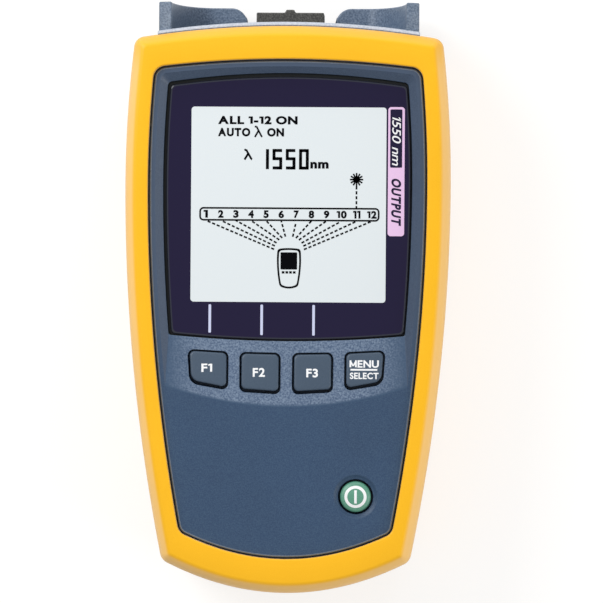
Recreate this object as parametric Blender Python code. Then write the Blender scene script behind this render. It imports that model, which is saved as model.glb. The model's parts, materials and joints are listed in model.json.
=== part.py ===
"""An optical light source: a handheld fibre tester in its soft yellow holster, lying on its back.

Metres. +X is to the right, +Y towards the connector end, +Z out of the front face. The origin is
the middle of the bounding box, on the surface that the back of the holster rests on.
"""

import math

import bmesh
import bpy
from mathutils import Vector

# Clearance between two pieces that touch.
GAP = 0.0003

# Holster: outline seen from the front, then its walls.
HOLSTER_HALF_WIDTH = 0.0430
WIDEST_Y = 0.0300
HOLSTER_TOP_Y = 0.0719
HOLSTER_BOTTOM_Y = -0.0780
LOWER_SIDE_RADIUS = 0.486
UPPER_SIDE_RADIUS = 0.312
TOP_RADIUS = 0.240
BOTTOM_RADIUS = 0.063
TOP_CORNER = 0.0030
BOTTOM_CORNER = 0.0034
SMALLEST_CORNER = 0.0012
HOLSTER_HEIGHT = 0.0400
HOLSTER_WALL = 0.0029
HOLSTER_BACK = 0.0022
LIP_THICKNESS = 0.0029
SHOULDER_WIDTH = 0.0031
SHOULDER_DROP = 0.0050
BACK_DRAFT = 0.0009
BACK_ROUND = 0.0040

# Opening in the front of the holster: the lip's width round it, then its own arcs.
LIP_WIDTH = 0.0062
LIP_TOP_WIDTH = 0.0090
LIP_BOTTOM_WIDTH = 0.0092
OPENING_TOP_RADIUS = 0.270
OPENING_BOTTOM_RADIUS = 0.057
OPENING_CORNER = 0.0034
OPENING_EDGE = 0.0008

# Instrument case.
CASE_WALL = 0.0024
CASE_ROUND = 0.0030
FACE_GAP = 0.0005
FACE_RISE = 0.0018
FACE_ROUND = 0.0008
SEAL_WIDTH = 0.0007
SEAL_HEIGHT = 0.0010

# Display recess: the bezel's crest and foot, the floor and the ramp below it.
CREST_WIDTH = 0.0015
BEZEL_WIDTH = 0.00355
BEZEL_TOP_WIDTH = 0.00325
RECESS_TOP_RADIUS = 0.200
FLOOR_DROP = 0.0017
RAMP_LEDGE = 0.00035
RAMP_LENGTH = 0.0174
RAMP_FOOT_RADIUS = 0.320
RAMP_TOP_RADIUS = 0.096

# Display lens, LCD and its holder.
LENS_MARGIN = 0.0046
LENS_TOP_MARGIN = 0.00475
LENS_LENGTH = 0.06925
LENS_TOP_RADIUS = 0.210
LENS_BOTTOM_RADIUS = 0.305
LENS_CORNER = 0.0010
LENS_THICKNESS = 0.0012
LENS_SINK = 0.0002
WINDOW_SIDE_MARGIN = 0.0057
WINDOW_TOP_MARGIN = 0.00705
WINDOW_BOTTOM_MARGIN = 0.0088
LCD_SIDE_LAP = 0.0015
LCD_END_LAP = 0.0023
LCD_THICKNESS = 0.0028
LCD_HOLDER_WALL = 0.0017
STRIP_WIDTH = 0.0018

# Keys. The upper and lower edges of the row follow two arcs.
KEY_MARGIN = 0.00805
KEY_SPACE = 0.00405
KEY_LENS_SPACE = 0.00395
KEY_LENGTH = 0.00995
KEY_GAP = 0.00045
KEY_LEAN = 0.0008
KEY_TOP_RADIUS = 0.387
KEY_BOTTOM_RADIUS = 0.092
KEY_CORNER = 0.0015
KEY_PROUD = 0.0008
KEY_FLANGE = 0.0013
KEY_FLANGE_THICKNESS = 0.0010
KEY_TRAVEL = 0.0008
KEY_NAMES = ("key_f1", "key_f2", "key_f3", "key_menu")
STEM_RADIUS = 0.0022
DOME_RADIUS = 0.0034
MAT_THICKNESS = 0.0010
MAT_BORDER = 0.0022
POWER_SIDE_MARGIN = 0.0108
POWER_END_MARGIN = 0.0164
POWER_RADIUS = 0.0039
DISH_RADIUS = 0.0051
DISH_DEPTH = 0.0005

# Main board. It lies near the middle of the space between the battery bay and the LCD.
BOARD_THICKNESS = 0.0016
BOARD_OFF_MIDDLE = 0.00055
BOARD_TOP_MARGIN = 0.0151
BOARD_BOTTOM_MARGIN = 0.0195
BOARD_SIDE_GAP = 0.0010
BOARD_SCREW_INSET = 0.0062
BOARD_SCREW_TOP_MARGIN = 0.0068
BOARD_SCREW_BOTTOM_MARGIN = 0.0165
BOARD_POST_RADIUS = 0.0022
BOARD_SHANK_RADIUS = 0.0009
BOARD_TIP_SPACE = 0.0034
BOARD_HEAD_RADIUS = 0.0019
BOARD_HEAD_HEIGHT = 0.0012

# Case screws, which go in from the back.
SCREW_INSET = 0.0066
SCREW_TOP_INSET = 0.0058
SCREW_BOTTOM_INSET = 0.0072
SCREW_DOOR_SPACE = 0.0059
COLUMN_RADIUS = 0.0038
BOSS_RADIUS = 0.0034
CASE_SHANK_RADIUS = 0.0015
CASE_HEAD_RADIUS = 0.0026
CASE_HEAD_HEIGHT = 0.0022
SCREW_TIP_SPACE = 0.0037
SCREW_SEAT_Z = 0.0080

# Connector end: the neck with its two guards and their hooks, the port and the cap.
NECK_SIDE_MARGIN = 0.0084
NECK_RISE = 0.0009
NECK_LOW_Z = 0.0042
NECK_LIP_SPACE = 0.0017
GUARD_LENGTH = 0.0052
GUARD_INNER_X = 0.0117
GUARD_SIDE_STEP = 0.0002
GUARD_POST = 0.0034
GUARD_WALL = 0.0034
GUARD_SWEEP = 0.0110
GUARD_LOW_STEP = 0.0008
GUARD_HIGH_STEP = 0.0004
GUARD_ROUND = 0.0034
HOOK_X = 0.0210
HOOK_WIDTH = 0.0060
HOOK_THICKNESS = 0.0018
HOOK_LENGTH = 0.0014
HOOK_NOSE = 0.0012
HOOK_ROOT = 0.0030
ADAPTER_SEAM_SPACE = 0.0009
ADAPTER_HALF_WIDTH = 0.0087
ADAPTER_HALF_HEIGHT = 0.0047
ADAPTER_LENGTH = 0.0143
ADAPTER_FLANGE = 0.0016
ADAPTER_FLANGE_DEPTH = 0.0023
SOCKET_HALF_WIDTH = 0.0064
SOCKET_HALF_HEIGHT = 0.0037
WEB_DEPTH = 0.0083
WEB_THICKNESS = 0.0010
FERRULE_HALF_WIDTH = 0.0031
FERRULE_HALF_HEIGHT = 0.0011
FERRULE_LENGTH = 0.0028
CLIP_THICKNESS = 0.0009
CAP_HALF_WIDTH = 0.0090
CAP_HALF_HEIGHT = 0.0053
CAP_THICKNESS = 0.0029
CAP_PLUG_LENGTH = 0.0058
CAP_WALL = 0.0009
CAP_TAB_HALF_WIDTH = 0.0012
CAP_TAB_HEIGHT = 0.0008
CAP_TAB_SLOPE = 0.0012
PLUG_LENGTH = 0.0120
BOOT_LENGTH = 0.0050

# Light source module and the fibre ribbon between it and the plug.
MODULE_HALF_WIDTH = 0.0150
MODULE_LENGTH = 0.0270
MODULE_HEIGHT = 0.0087
MODULE_EAR = 0.0030
MODULE_EAR_THICKNESS = 0.0012
NOSE_RADIUS = 0.0025
NOSE_LENGTH = 0.0030
RIBBON_HALF_WIDTH = 0.0016
RIBBON_THICKNESS = 0.0006
RIBBON_LENGTH = 0.0076
RIBBON_STEPS = 8
PROCESSOR_SIZE = 0.0120
PROCESSOR_KEY_SPACE = 0.0046
DRIVER_SIZE = 0.0080
DRIVER_MODULE_SPACE = 0.0025
CHIP_HEIGHT = 0.0014

# Battery bay in the rear case, with two AA cells, their contacts and the door.
CELL_RADIUS = 0.0071
CELL_LENGTH = 0.0505
CELL_NUB_RADIUS = 0.0027
CELL_NUB_HEIGHT = 0.0015
CELL_SPACING = 0.0005
BAY_WALL = 0.0017
BAY_ROOF = 0.0015
BAY_BOTTOM_MARGIN = 0.0140
PLATE_THICKNESS = 0.0005
PLATE_HALF_WIDTH = 0.0050
PLATE_HEIGHT = 0.0110
SPRING_HEIGHT = 0.0025
SPRING_WIRE = 0.00035
SPRING_TURNS = 2.5
SPRING_STEPS = 10
SPRING_BASE_RADIUS = 0.0040
SPRING_TIP_RADIUS = 0.0022
DOOR_THICKNESS = 0.0022
DOOR_BORDER = 0.0032
DOOR_HEAD_LENGTH = 0.0070
DOOR_CORNER = 0.0020
FRAME_THICKNESS = 0.0050
FRAME_BORDER = 0.0024
TONGUE_WIDTH = 0.0060
TONGUE_LENGTH = 0.0016
TONGUE_THICKNESS = 0.0010
TONGUE_X = 0.0090
DOOR_SCREW_HEIGHT = 0.0078
DOOR_BOSS_RADIUS = 0.0034

# Smoothness of the round forms.
TOP_STEPS = 5
CORNER_STEPS = 3
SIDE_STEPS = 10
BOTTOM_STEPS = 6
ROUND_STEPS = 4
ROD_SIDES = 20
SMOOTH_ANGLE = math.radians(32)
# A face that bends more than this is split into flat ones.
FLAT_ANGLE = math.radians(0.02)
# How far a cutting body reaches past the face that it cuts.
OVERSHOOT = 0.0010

# Colour (0 to 255), roughness and metallic value of each material.
FINISHES = {
    "yellow_rubber": ((254, 194, 40), 0.50, 0.0),
    "slate_plastic": ((66, 88, 114), 0.48, 0.0),
    "key_rubber": ((84, 100, 115), 0.60, 0.0),
    "green_key": ((58, 128, 98), 0.45, 0.0),
    "printed_window": ((44, 40, 64), 0.12, 0.0),
    "lcd_grey": ((226, 233, 236), 0.20, 0.0),
    "white_plastic": ((225, 225, 220), 0.50, 0.0),
    "black_plastic": ((30, 30, 32), 0.45, 0.0),
    "dark_rubber": ((40, 40, 42), 0.75, 0.0),
    "clear_plastic": ((215, 225, 225), 0.15, 0.0),
    "board_green": ((28, 92, 58), 0.40, 0.0),
    "steel": ((180, 182, 186), 0.30, 1.0),
    "cell_jacket": ((200, 160, 70), 0.35, 0.4),
    "fibre_jacket": ((90, 190, 205), 0.45, 0.0),
}


class Outline:
    """The instrument's outline: bulged sides that taper downwards, an arched top and a deeper bottom arch.

    Each edge is a shallow curve, edge = end - distance squared / (2 radius), and the corners are round.
    """

    def __init__(self, half_width, top_y, bottom_y, top_radius, bottom_radius, top_corner, bottom_corner,
                 low_radius=LOWER_SIDE_RADIUS, high_radius=UPPER_SIDE_RADIUS):
        self.half_width = half_width
        self.top_y = top_y
        self.bottom_y = bottom_y
        self.top_radius = top_radius
        self.bottom_radius = bottom_radius
        self.top_corner = top_corner
        self.bottom_corner = bottom_corner
        self.low_radius = low_radius
        self.high_radius = high_radius

    def inset(self, distance):
        """The same outline, moved inwards by a distance."""
        return Outline(
            self.half_width - distance,
            self.top_y - distance,
            self.bottom_y + distance,
            self.top_radius - distance,
            self.bottom_radius - distance,
            max(self.top_corner - distance, SMALLEST_CORNER),
            max(self.bottom_corner - distance, SMALLEST_CORNER),
            self.low_radius - distance,
            self.high_radius - distance,
        )

    def side(self, y):
        """A point on the right side and its outward normal."""
        radius = self.high_radius if y > WIDEST_Y else self.low_radius
        point = Vector((self.half_width - (y - WIDEST_Y) ** 2 / (2 * radius), y))
        return point, Vector((1, (y - WIDEST_Y) / radius)).normalized()

    def top(self, x):
        """A point on the top edge and its outward normal."""
        point = Vector((x, self.top_y - x * x / (2 * self.top_radius)))
        return point, Vector((x / self.top_radius, 1)).normalized()

    def bottom(self, x):
        """A point on the bottom edge and its outward normal."""
        point = Vector((x, self.bottom_y + x * x / (2 * self.bottom_radius)))
        return point, Vector((x / self.bottom_radius, -1)).normalized()

    def corner(self, edge, start_y, radius):
        """The centre of the round corner between the side and an edge, and where it touches both."""
        x, y = self.half_width, start_y
        for _ in range(40):
            side_point, side_normal = self.side(y)
            edge_point, edge_normal = edge(x)
            centre = Vector((side_point.x - radius * side_normal.x, edge_point.y - radius * edge_normal.y))
            x = centre.x + radius * edge_normal.x
            y = centre.y + radius * side_normal.y
        return centre, x, y

    def points(self):
        """The closed outline, clockwise from the middle of the top edge."""
        top_centre, top_x, high_y = self.corner(self.top, self.top_y, self.top_corner)
        low_centre, bottom_x, low_y = self.corner(self.bottom, self.bottom_y, self.bottom_corner)
        right = [self.top(top_x * i / TOP_STEPS)[0] for i in range(TOP_STEPS)]
        right += arc_between(top_centre, self.top_corner, self.top(top_x)[1], self.side(high_y)[1])
        for i in range(1, SIDE_STEPS):
            right.append(self.side(high_y + (low_y - high_y) * i / SIDE_STEPS)[0])
        right += arc_between(low_centre, self.bottom_corner, self.side(low_y)[1], self.bottom(bottom_x)[1])
        right += [self.bottom(bottom_x * (1 - i / BOTTOM_STEPS))[0] for i in range(1, BOTTOM_STEPS + 1)]
        left = [Vector((-point.x, point.y)) for point in right[-2:0:-1]]
        return right + left


def arc_between(centre, radius, first_normal, last_normal):
    """Points on a round corner, from one normal's direction to another's."""
    first = math.atan2(first_normal.y, first_normal.x)
    last = math.atan2(last_normal.y, last_normal.x)
    angles = [first + (last - first) * i / CORNER_STEPS for i in range(CORNER_STEPS + 1)]
    return [centre + radius * Vector((math.cos(angle), math.sin(angle))) for angle in angles]


def quarter(steps=ROUND_STEPS):
    """Pairs (across, up) along a quarter round: from (0, 0) on the wall to (1, 1) on the flat."""
    angles = [math.pi / 2 * i / steps for i in range(steps + 1)]
    return [(1 - math.cos(angle), math.sin(angle)) for angle in angles]


def at_height(points, z):
    return [(point[0], point[1], z) for point in points]


def linear(value):
    """One colour channel, 0 to 255, as linear light."""
    share = value / 255
    return share / 12.92 if share <= 0.04045 else ((share + 0.055) / 1.055) ** 2.4


def make_material(name):
    colour, roughness, metallic = FINISHES[name]
    material = bpy.data.materials.new(name)
    material.use_nodes = True
    shader = material.node_tree.nodes["Principled BSDF"]
    shader.inputs["Base Color"].default_value = (*(linear(channel) for channel in colour), 1)
    shader.inputs["Roughness"].default_value = roughness
    shader.inputs["Metallic"].default_value = metallic
    material.diffuse_color = (*(channel / 255 for channel in colour), 1)
    return material


def new_object(name, shape, finish, smooth=False):
    """An object made from a bmesh, with flat faces that point out."""
    bmesh.ops.connect_verts_nonplanar(shape, angle_limit=FLAT_ANGLE, faces=shape.faces)
    bmesh.ops.recalc_face_normals(shape, faces=shape.faces)
    mesh = bpy.data.meshes.new(name)
    shape.to_mesh(mesh)
    shape.free()
    if smooth:
        mesh.shade_smooth()
        mesh.set_sharp_from_angle(angle=SMOOTH_ANGLE)
    piece = bpy.data.objects.new(name, mesh)
    if finish:
        piece.data.materials.append(bpy.data.materials.get(finish) or make_material(finish))
    bpy.context.scene.collection.objects.link(piece)
    return piece


def loft(name, rings, finish=None, smooth=False):
    """A closed body through rings of equal count, with a flat face on the first and the last."""
    shape = bmesh.new()
    loops = [[shape.verts.new(point) for point in ring] for ring in rings]
    for lower, upper in zip(loops, loops[1:]):
        for i in range(len(lower)):
            j = (i + 1) % len(lower)
            shape.faces.new((lower[i], lower[j], upper[j], upper[i]))
    shape.faces.new(loops[0])
    shape.faces.new(loops[-1])
    return new_object(name, shape, finish, smooth)


def closed_ring(name, rings, finish):
    """A body like a gasket: the rings are joined in a loop, the last one to the first."""
    shape = bmesh.new()
    loops = [[shape.verts.new(point) for point in ring] for ring in rings]
    for k, lower in enumerate(loops):
        upper = loops[(k + 1) % len(loops)]
        for i in range(len(lower)):
            j = (i + 1) % len(lower)
            shape.faces.new((lower[i], lower[j], upper[j], upper[i]))
    return new_object(name, shape, finish)


def place(point, distance, axis):
    """A flat point (u, v) at a distance along an axis: X takes (y, z), Y takes (x, z), Z takes (x, y)."""
    u, v = point
    return {"X": (distance, u, v), "Y": (u, distance, v), "Z": (u, v, distance)}[axis]


def prism(name, points, low, high, finish=None, axis="Z", smooth=False):
    rings = [[place(point, distance, axis) for point in points] for distance in (low, high)]
    return loft(name, rings, finish, smooth)


def box(name, low, high, finish=None):
    corners = [(low[0], low[1]), (high[0], low[1]), (high[0], high[1]), (low[0], high[1])]
    return prism(name, corners, low[2], high[2], finish)


def circle(centre, radius, sides=ROD_SIDES):
    angles = [2 * math.pi * i / sides for i in range(sides)]
    return [(centre[0] + radius * math.cos(a), centre[1] + radius * math.sin(a)) for a in angles]


def rod(name, centre, sections, finish=None, axis="Z", sides=ROD_SIDES):
    """A turned body along an axis, from (radius, distance) pairs."""
    rings = [[place(point, distance, axis) for point in circle(centre, radius, sides)]
             for radius, distance in sections]
    return loft(name, rings, finish, smooth=True)


def rounded(points, radius, steps=CORNER_STEPS):
    """A convex polygon with round corners."""
    result = []
    for i, here in enumerate(points):
        here = Vector(here)
        before = (Vector(points[i - 1]) - here).normalized()
        after = (Vector(points[(i + 1) % len(points)]) - here).normalized()
        half_angle = before.angle(after) / 2
        reach = radius / math.tan(half_angle)
        centre = here + (before + after).normalized() * radius / math.sin(half_angle)
        first = here + before * reach - centre
        last = here + after * reach - centre
        for k in range(steps + 1):
            result.append(centre + first.lerp(last, k / steps).normalized() * radius)
    return result


def rectangle(half_width, low_y, high_y):
    return [(-half_width, low_y), (half_width, low_y), (half_width, high_y), (-half_width, high_y)]


def combine(piece, others, operation):
    """Boolean operations on a piece. The other bodies stay as hidden guides."""
    for other in others:
        modifier = piece.modifiers.new(other.name, "BOOLEAN")
        modifier.operation = operation
        modifier.solver = "EXACT"
        modifier.object = other
        other.hide_render = True
        other.display_type = "WIRE"


def cut(piece, *others):
    combine(piece, others, "DIFFERENCE")


def join(piece, *others):
    combine(piece, others, "UNION")


def mirrored(places):
    """Each place on the right and its mirror image on the left."""
    return [(side * x, y) for x, y in places for side in (1, -1)]


# Outlines and heights that several pieces share.
HOLSTER = Outline(HOLSTER_HALF_WIDTH, HOLSTER_TOP_Y, HOLSTER_BOTTOM_Y, TOP_RADIUS, BOTTOM_RADIUS,
                  TOP_CORNER, BOTTOM_CORNER)
OPENING = Outline(HOLSTER_HALF_WIDTH - LIP_WIDTH, HOLSTER_TOP_Y - LIP_TOP_WIDTH,
                  HOLSTER_BOTTOM_Y + LIP_BOTTOM_WIDTH, OPENING_TOP_RADIUS, OPENING_BOTTOM_RADIUS,
                  OPENING_CORNER, OPENING_CORNER)
CAVITY = HOLSTER.inset(HOLSTER_WALL)
CASE = CAVITY.inset(GAP)
FACE = OPENING.inset(FACE_GAP)
LENS_TOP_Y = OPENING.top_y - LENS_TOP_MARGIN
LENS_BOTTOM_Y = LENS_TOP_Y - LENS_LENGTH
LENS = Outline(OPENING.half_width - LENS_MARGIN, LENS_TOP_Y, LENS_BOTTOM_Y, LENS_TOP_RADIUS,
               LENS_BOTTOM_RADIUS, LENS_CORNER, LENS_CORNER)
WINDOW_HALF_WIDTH = LENS.half_width - WINDOW_SIDE_MARGIN
WINDOW_TOP_Y = LENS_TOP_Y - WINDOW_TOP_MARGIN
WINDOW_BOTTOM_Y = LENS_BOTTOM_Y + WINDOW_BOTTOM_MARGIN
RAMP_FOOT_Y = LENS_BOTTOM_Y - RAMP_LEDGE
RAMP_TOP_Y = RAMP_FOOT_Y - RAMP_LENGTH
KEY_TOP_Y = LENS_BOTTOM_Y - KEY_LENS_SPACE
KEY_BOTTOM_Y = KEY_TOP_Y - KEY_LENGTH
KEY_ROW_HALF_WIDTH = FACE.side((KEY_TOP_Y + KEY_BOTTOM_Y) / 2)[0].x - KEY_MARGIN
KEY_PITCH = (2 * KEY_ROW_HALF_WIDTH + KEY_SPACE) / len(KEY_NAMES)
KEY_WIDTH = KEY_PITCH - KEY_SPACE
POWER_Y = OPENING.bottom_y + POWER_END_MARGIN
POWER_X = FACE.side(POWER_Y)[0].x - POWER_SIDE_MARGIN

CASE_BACK_Z = HOLSTER_BACK + GAP
LIP_UNDER_Z = HOLSTER_HEIGHT - LIP_THICKNESS
CASE_FRONT_Z = LIP_UNDER_Z - GAP
FACE_INNER_Z = CASE_FRONT_Z - CASE_WALL
FACE_Z = CASE_FRONT_Z + FACE_RISE
FLOOR_Z = FACE_Z - FLOOR_DROP
LENS_TOP_Z = FLOOR_Z - LENS_SINK
LENS_BACK_Z = LENS_TOP_Z - LENS_THICKNESS
CEILING_Z = FACE_INNER_Z - GAP
GLASS_Z = CEILING_Z - LCD_THICKNESS
CELL_X = CELL_RADIUS + CELL_SPACING
BAY_HALF_WIDTH = CELL_X + CELL_RADIUS + CELL_SPACING
DOOR_TOP_Z = CASE_BACK_Z + DOOR_THICKNESS
FRAME_TOP_Z = CASE_BACK_Z + FRAME_THICKNESS
CELL_Z = DOOR_TOP_Z + GAP + CELL_RADIUS
BAY_CEILING_Z = CELL_Z + CELL_RADIUS + GAP
BAY_ROOF_Z = BAY_CEILING_Z + BAY_ROOF
BOARD_Z = (BAY_ROOF_Z + GLASS_Z - BOARD_THICKNESS) / 2 - BOARD_OFF_MIDDLE
BOARD_TOP_Z = BOARD_Z + BOARD_THICKNESS
SEAM_Z = BOARD_Z - 2 * GAP
MAT_TOP_Z = BOARD_TOP_Z + GAP + MAT_THICKNESS
STEM_END_Z = (MAT_TOP_Z + CEILING_Z - KEY_FLANGE_THICKNESS) / 2 + GAP
DOME_TOP_Z = STEM_END_Z - GAP - KEY_TRAVEL
NECK_HALF_WIDTH = HOLSTER_HALF_WIDTH - NECK_SIDE_MARGIN
NECK_TOP_Y = HOLSTER_TOP_Y + NECK_RISE
NECK_HIGH_Z = LIP_UNDER_Z - NECK_LIP_SPACE
GUARD_END_Y = NECK_TOP_Y + GUARD_LENGTH
GUARD_OUTER_X = NECK_HALF_WIDTH - GUARD_SIDE_STEP
GUARD_LOW_Z = NECK_LOW_Z + GUARD_LOW_STEP
GUARD_HIGH_Z = NECK_HIGH_Z - GUARD_HIGH_STEP
PORT_Z = SEAM_Z - ADAPTER_SEAM_SPACE - ADAPTER_FLANGE - ADAPTER_HALF_HEIGHT
ADAPTER_BACK_Y = NECK_TOP_Y - ADAPTER_LENGTH
WEB_Y = NECK_TOP_Y - WEB_DEPTH
BOARD_TOP_Y = HOLSTER_TOP_Y - BOARD_TOP_MARGIN
BOARD_BOTTOM_Y = HOLSTER_BOTTOM_Y + BOARD_BOTTOM_MARGIN
BAY_BOTTOM_Y = HOLSTER_BOTTOM_Y + BAY_BOTTOM_MARGIN
BAY_TOP_Y = BAY_BOTTOM_Y + CELL_LENGTH + SPRING_HEIGHT + 2 * PLATE_THICKNESS + 5 * GAP
DOOR_HALF_WIDTH = BAY_HALF_WIDTH + DOOR_BORDER
DOOR_BOTTOM_Y = BAY_BOTTOM_Y - DOOR_BORDER + CELL_SPACING
DOOR_TOP_Y = BAY_TOP_Y + DOOR_HEAD_LENGTH
DOOR_SCREW_Y = BAY_TOP_Y + DOOR_HEAD_LENGTH / 2


def beside(y, inset):
    """The place at a height y that lies a distance in from the case's right side."""
    return CASE.side(y)[0].x - inset, y


def low_screw_y():
    """As low as the case's lower screws fit between the battery door, the case's side and its bottom."""
    side_x = DOOR_HALF_WIDTH + SCREW_DOOR_SPACE + SCREW_INSET
    fits = WIDEST_Y - math.sqrt(max(2 * CASE.low_radius * (CASE.half_width - side_x), 0))
    x, y = beside(fits, SCREW_INSET)
    return max(y, CASE.bottom(x)[0].y + SCREW_BOTTOM_INSET)


HIGH_SCREW_Y = CASE.top(CASE.half_width - SCREW_INSET)[0].y - SCREW_TOP_INSET
CASE_SCREWS = (beside(HIGH_SCREW_Y, SCREW_INSET), beside(low_screw_y(), SCREW_INSET))
BOARD_SCREWS = (beside(BOARD_TOP_Y - BOARD_SCREW_TOP_MARGIN, BOARD_SCREW_INSET),
                beside(BOARD_BOTTOM_Y + BOARD_SCREW_BOTTOM_MARGIN, BOARD_SCREW_INSET))


def make_holster():
    """The soft boot: a cup with a thick lip that turns in over the front of the case."""
    floor_round = CASE_ROUND
    rings = []
    for across, up in reversed(quarter()):
        points = CAVITY.inset(across * floor_round).points()
        rings.append(at_height(points, HOLSTER_BACK + (1 - up) * floor_round))
    for across, up in quarter():
        points = CAVITY.inset(across * floor_round).points()
        rings.append(at_height(points, LIP_UNDER_Z - (1 - up) * floor_round))
    rings.append(at_height(OPENING.points(), LIP_UNDER_Z))
    for across, up in quarter(2):
        points = OPENING.inset(-across * OPENING_EDGE).points()
        rings.append(at_height(points, HOLSTER_HEIGHT - (1 - up) * OPENING_EDGE))
    for across, up in reversed(quarter()):
        points = HOLSTER.inset(across * SHOULDER_WIDTH).points()
        rings.append(at_height(points, HOLSTER_HEIGHT - (1 - up) * SHOULDER_DROP))
    rings.append(at_height(HOLSTER.points(), HOLSTER_HEIGHT / 2))
    for across, up in quarter():
        points = HOLSTER.inset(BACK_DRAFT + across * BACK_ROUND).points()
        rings.append(at_height(points, (1 - up) * BACK_ROUND))
    holster = loft("holster", rings, "yellow_rubber", smooth=True)
    window = box(
        "neck_window",
        (-NECK_HALF_WIDTH - GAP, OPENING.top_y, NECK_LOW_Z - GAP),
        (NECK_HALF_WIDTH + GAP, HOLSTER_TOP_Y + OVERSHOOT, NECK_HIGH_Z + GAP),
    )
    cut(holster, window)
    return holster


def recess_cutter():
    """The display recess: a sloping bezel at the top and sides, a flat floor, and a ramp at the bottom."""
    rings = []
    for z in (FACE_Z + OVERSHOOT, FACE_Z, FLOOR_Z):
        share = (z - FLOOR_Z) / FLOOR_DROP
        loop = FACE.inset(BEZEL_WIDTH + share * (CREST_WIDTH - BEZEL_WIDTH))
        loop.top_y = FACE.top_y - BEZEL_TOP_WIDTH - share * (CREST_WIDTH - BEZEL_TOP_WIDTH)
        loop.top_radius = 1 / ((1 - share) / RECESS_TOP_RADIUS + share / OPENING_TOP_RADIUS)
        loop.bottom_y = RAMP_FOOT_Y + share * (RAMP_TOP_Y - RAMP_FOOT_Y)
        loop.bottom_radius = 1 / ((1 - share) / RAMP_FOOT_RADIUS + share / RAMP_TOP_RADIUS)
        loop.bottom_corner = SMALLEST_CORNER
        rings.append(at_height(loop.points(), z))
    return loft("recess", rings)


def ramp_height(y):
    """Height of the keypad ramp along the middle of the case."""
    share = (RAMP_FOOT_Y - y) / (RAMP_FOOT_Y - RAMP_TOP_Y)
    return FLOOR_Z + min(max(share, 0), 1) * FLOOR_DROP


def key_outline(index, grow=0.0):
    """One key of the row, seen from the front. Its upper and lower edges lie on the row's arcs."""
    centre = (index - (len(KEY_NAMES) - 1) / 2) * KEY_PITCH
    left = centre - KEY_WIDTH / 2 - grow
    right = centre + KEY_WIDTH / 2 + grow
    low_left = left + (KEY_LEAN if index == 0 else 0)
    low_right = right - (KEY_LEAN if index == len(KEY_NAMES) - 1 else 0)

    def low(x):
        return KEY_BOTTOM_Y - grow + x * x / (2 * KEY_BOTTOM_RADIUS)

    def high(x):
        return KEY_TOP_Y + grow + x * x / (2 * KEY_TOP_RADIUS)

    corners = [(low_left, low(low_left)), (low_right, low(low_right)), (right, high(right)),
               (left, high(left))]
    return rounded(corners, KEY_CORNER + max(grow, 0) / 2)


def key_stem_place(index):
    points = key_outline(index)
    return (sum(p[0] for p in points) / len(points), sum(p[1] for p in points) / len(points))


def make_front_case():
    """The front shell: bezel, display recess, keypad ramp, power dish, bosses and board posts."""
    rim_z = SEAM_Z + GAP
    rings = [at_height(CASE.inset(CASE_WALL + across * CASE_ROUND / 2).points(),
                       FACE_INNER_Z - (1 - up) * CASE_ROUND / 2) for across, up in reversed(quarter(2))]
    rings.append(at_height(CASE.inset(CASE_WALL).points(), rim_z))
    rings.append(at_height(CASE.points(), rim_z))
    for across, up in quarter():
        rings.append(at_height(CASE.inset(across * CASE_ROUND).points(),
                               CASE_FRONT_Z - (1 - up) * CASE_ROUND))
    rings.append(at_height(FACE.points(), CASE_FRONT_Z))
    for across, up in quarter(3):
        rings.append(at_height(FACE.inset(across * FACE_ROUND).points(), FACE_Z - (1 - up) * FACE_ROUND))
    case = loft("front_case", rings, "slate_plastic", smooth=True)
    inside_z = FACE_INNER_Z + OVERSHOOT
    for n, (x, y) in enumerate(mirrored(CASE_SCREWS)):
        join(case, rod(f"boss_{n}", (x, y), [(BOSS_RADIUS, rim_z + GAP), (BOSS_RADIUS, inside_z)]))
    for n, (x, y) in enumerate(mirrored(BOARD_SCREWS)):
        sections = [(BOARD_POST_RADIUS, BOARD_TOP_Z + GAP), (BOARD_POST_RADIUS, inside_z)]
        join(case, rod(f"post_{n}", (x, y), sections, sides=12))
    cut(case, recess_cutter())
    pocket = LENS.inset(-GAP).points()
    cut(case, prism("lens_pocket", pocket, LENS_BACK_Z - GAP, FLOOR_Z + OVERSHOOT))
    window = rectangle(WINDOW_HALF_WIDTH, WINDOW_BOTTOM_Y, WINDOW_TOP_Y)
    cut(case, prism("lcd_window", window, FACE_INNER_Z - OVERSHOOT, FLOOR_Z))
    for index, name in enumerate(KEY_NAMES):
        hole = key_outline(index, KEY_GAP)
        cut(case, prism(f"{name}_hole", hole, FACE_INNER_Z - OVERSHOOT, FACE_Z + OVERSHOOT))
    power = (POWER_X, POWER_Y)
    rim = DISH_RADIUS - POWER_RADIUS - GAP
    dish = [(DISH_RADIUS - rim, FACE_Z - DISH_DEPTH), (DISH_RADIUS, FACE_Z),
            (DISH_RADIUS + rim, FACE_Z + DISH_DEPTH)]
    cut(case, rod("power_dish", power, dish, sides=28))
    hole = POWER_RADIUS + GAP
    cut(case, rod("power_hole", power, [(hole, FACE_INNER_Z - OVERSHOOT), (hole, FACE_Z)], sides=28))
    screw_end = FACE_INNER_Z - SCREW_TIP_SPACE + GAP
    for n, (x, y) in enumerate(mirrored(CASE_SCREWS)):
        hole = CASE_SHANK_RADIUS + GAP
        cut(case, rod(f"boss_hole_{n}", (x, y), [(hole, SEAM_Z), (hole, screw_end)], sides=12))
    post_end = FACE_INNER_Z - BOARD_TIP_SPACE + GAP
    for n, (x, y) in enumerate(mirrored(BOARD_SCREWS)):
        hole = BOARD_SHANK_RADIUS + GAP
        cut(case, rod(f"post_hole_{n}", (x, y), [(hole, BOARD_TOP_Z), (hole, post_end)], sides=8))
    return case


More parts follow.
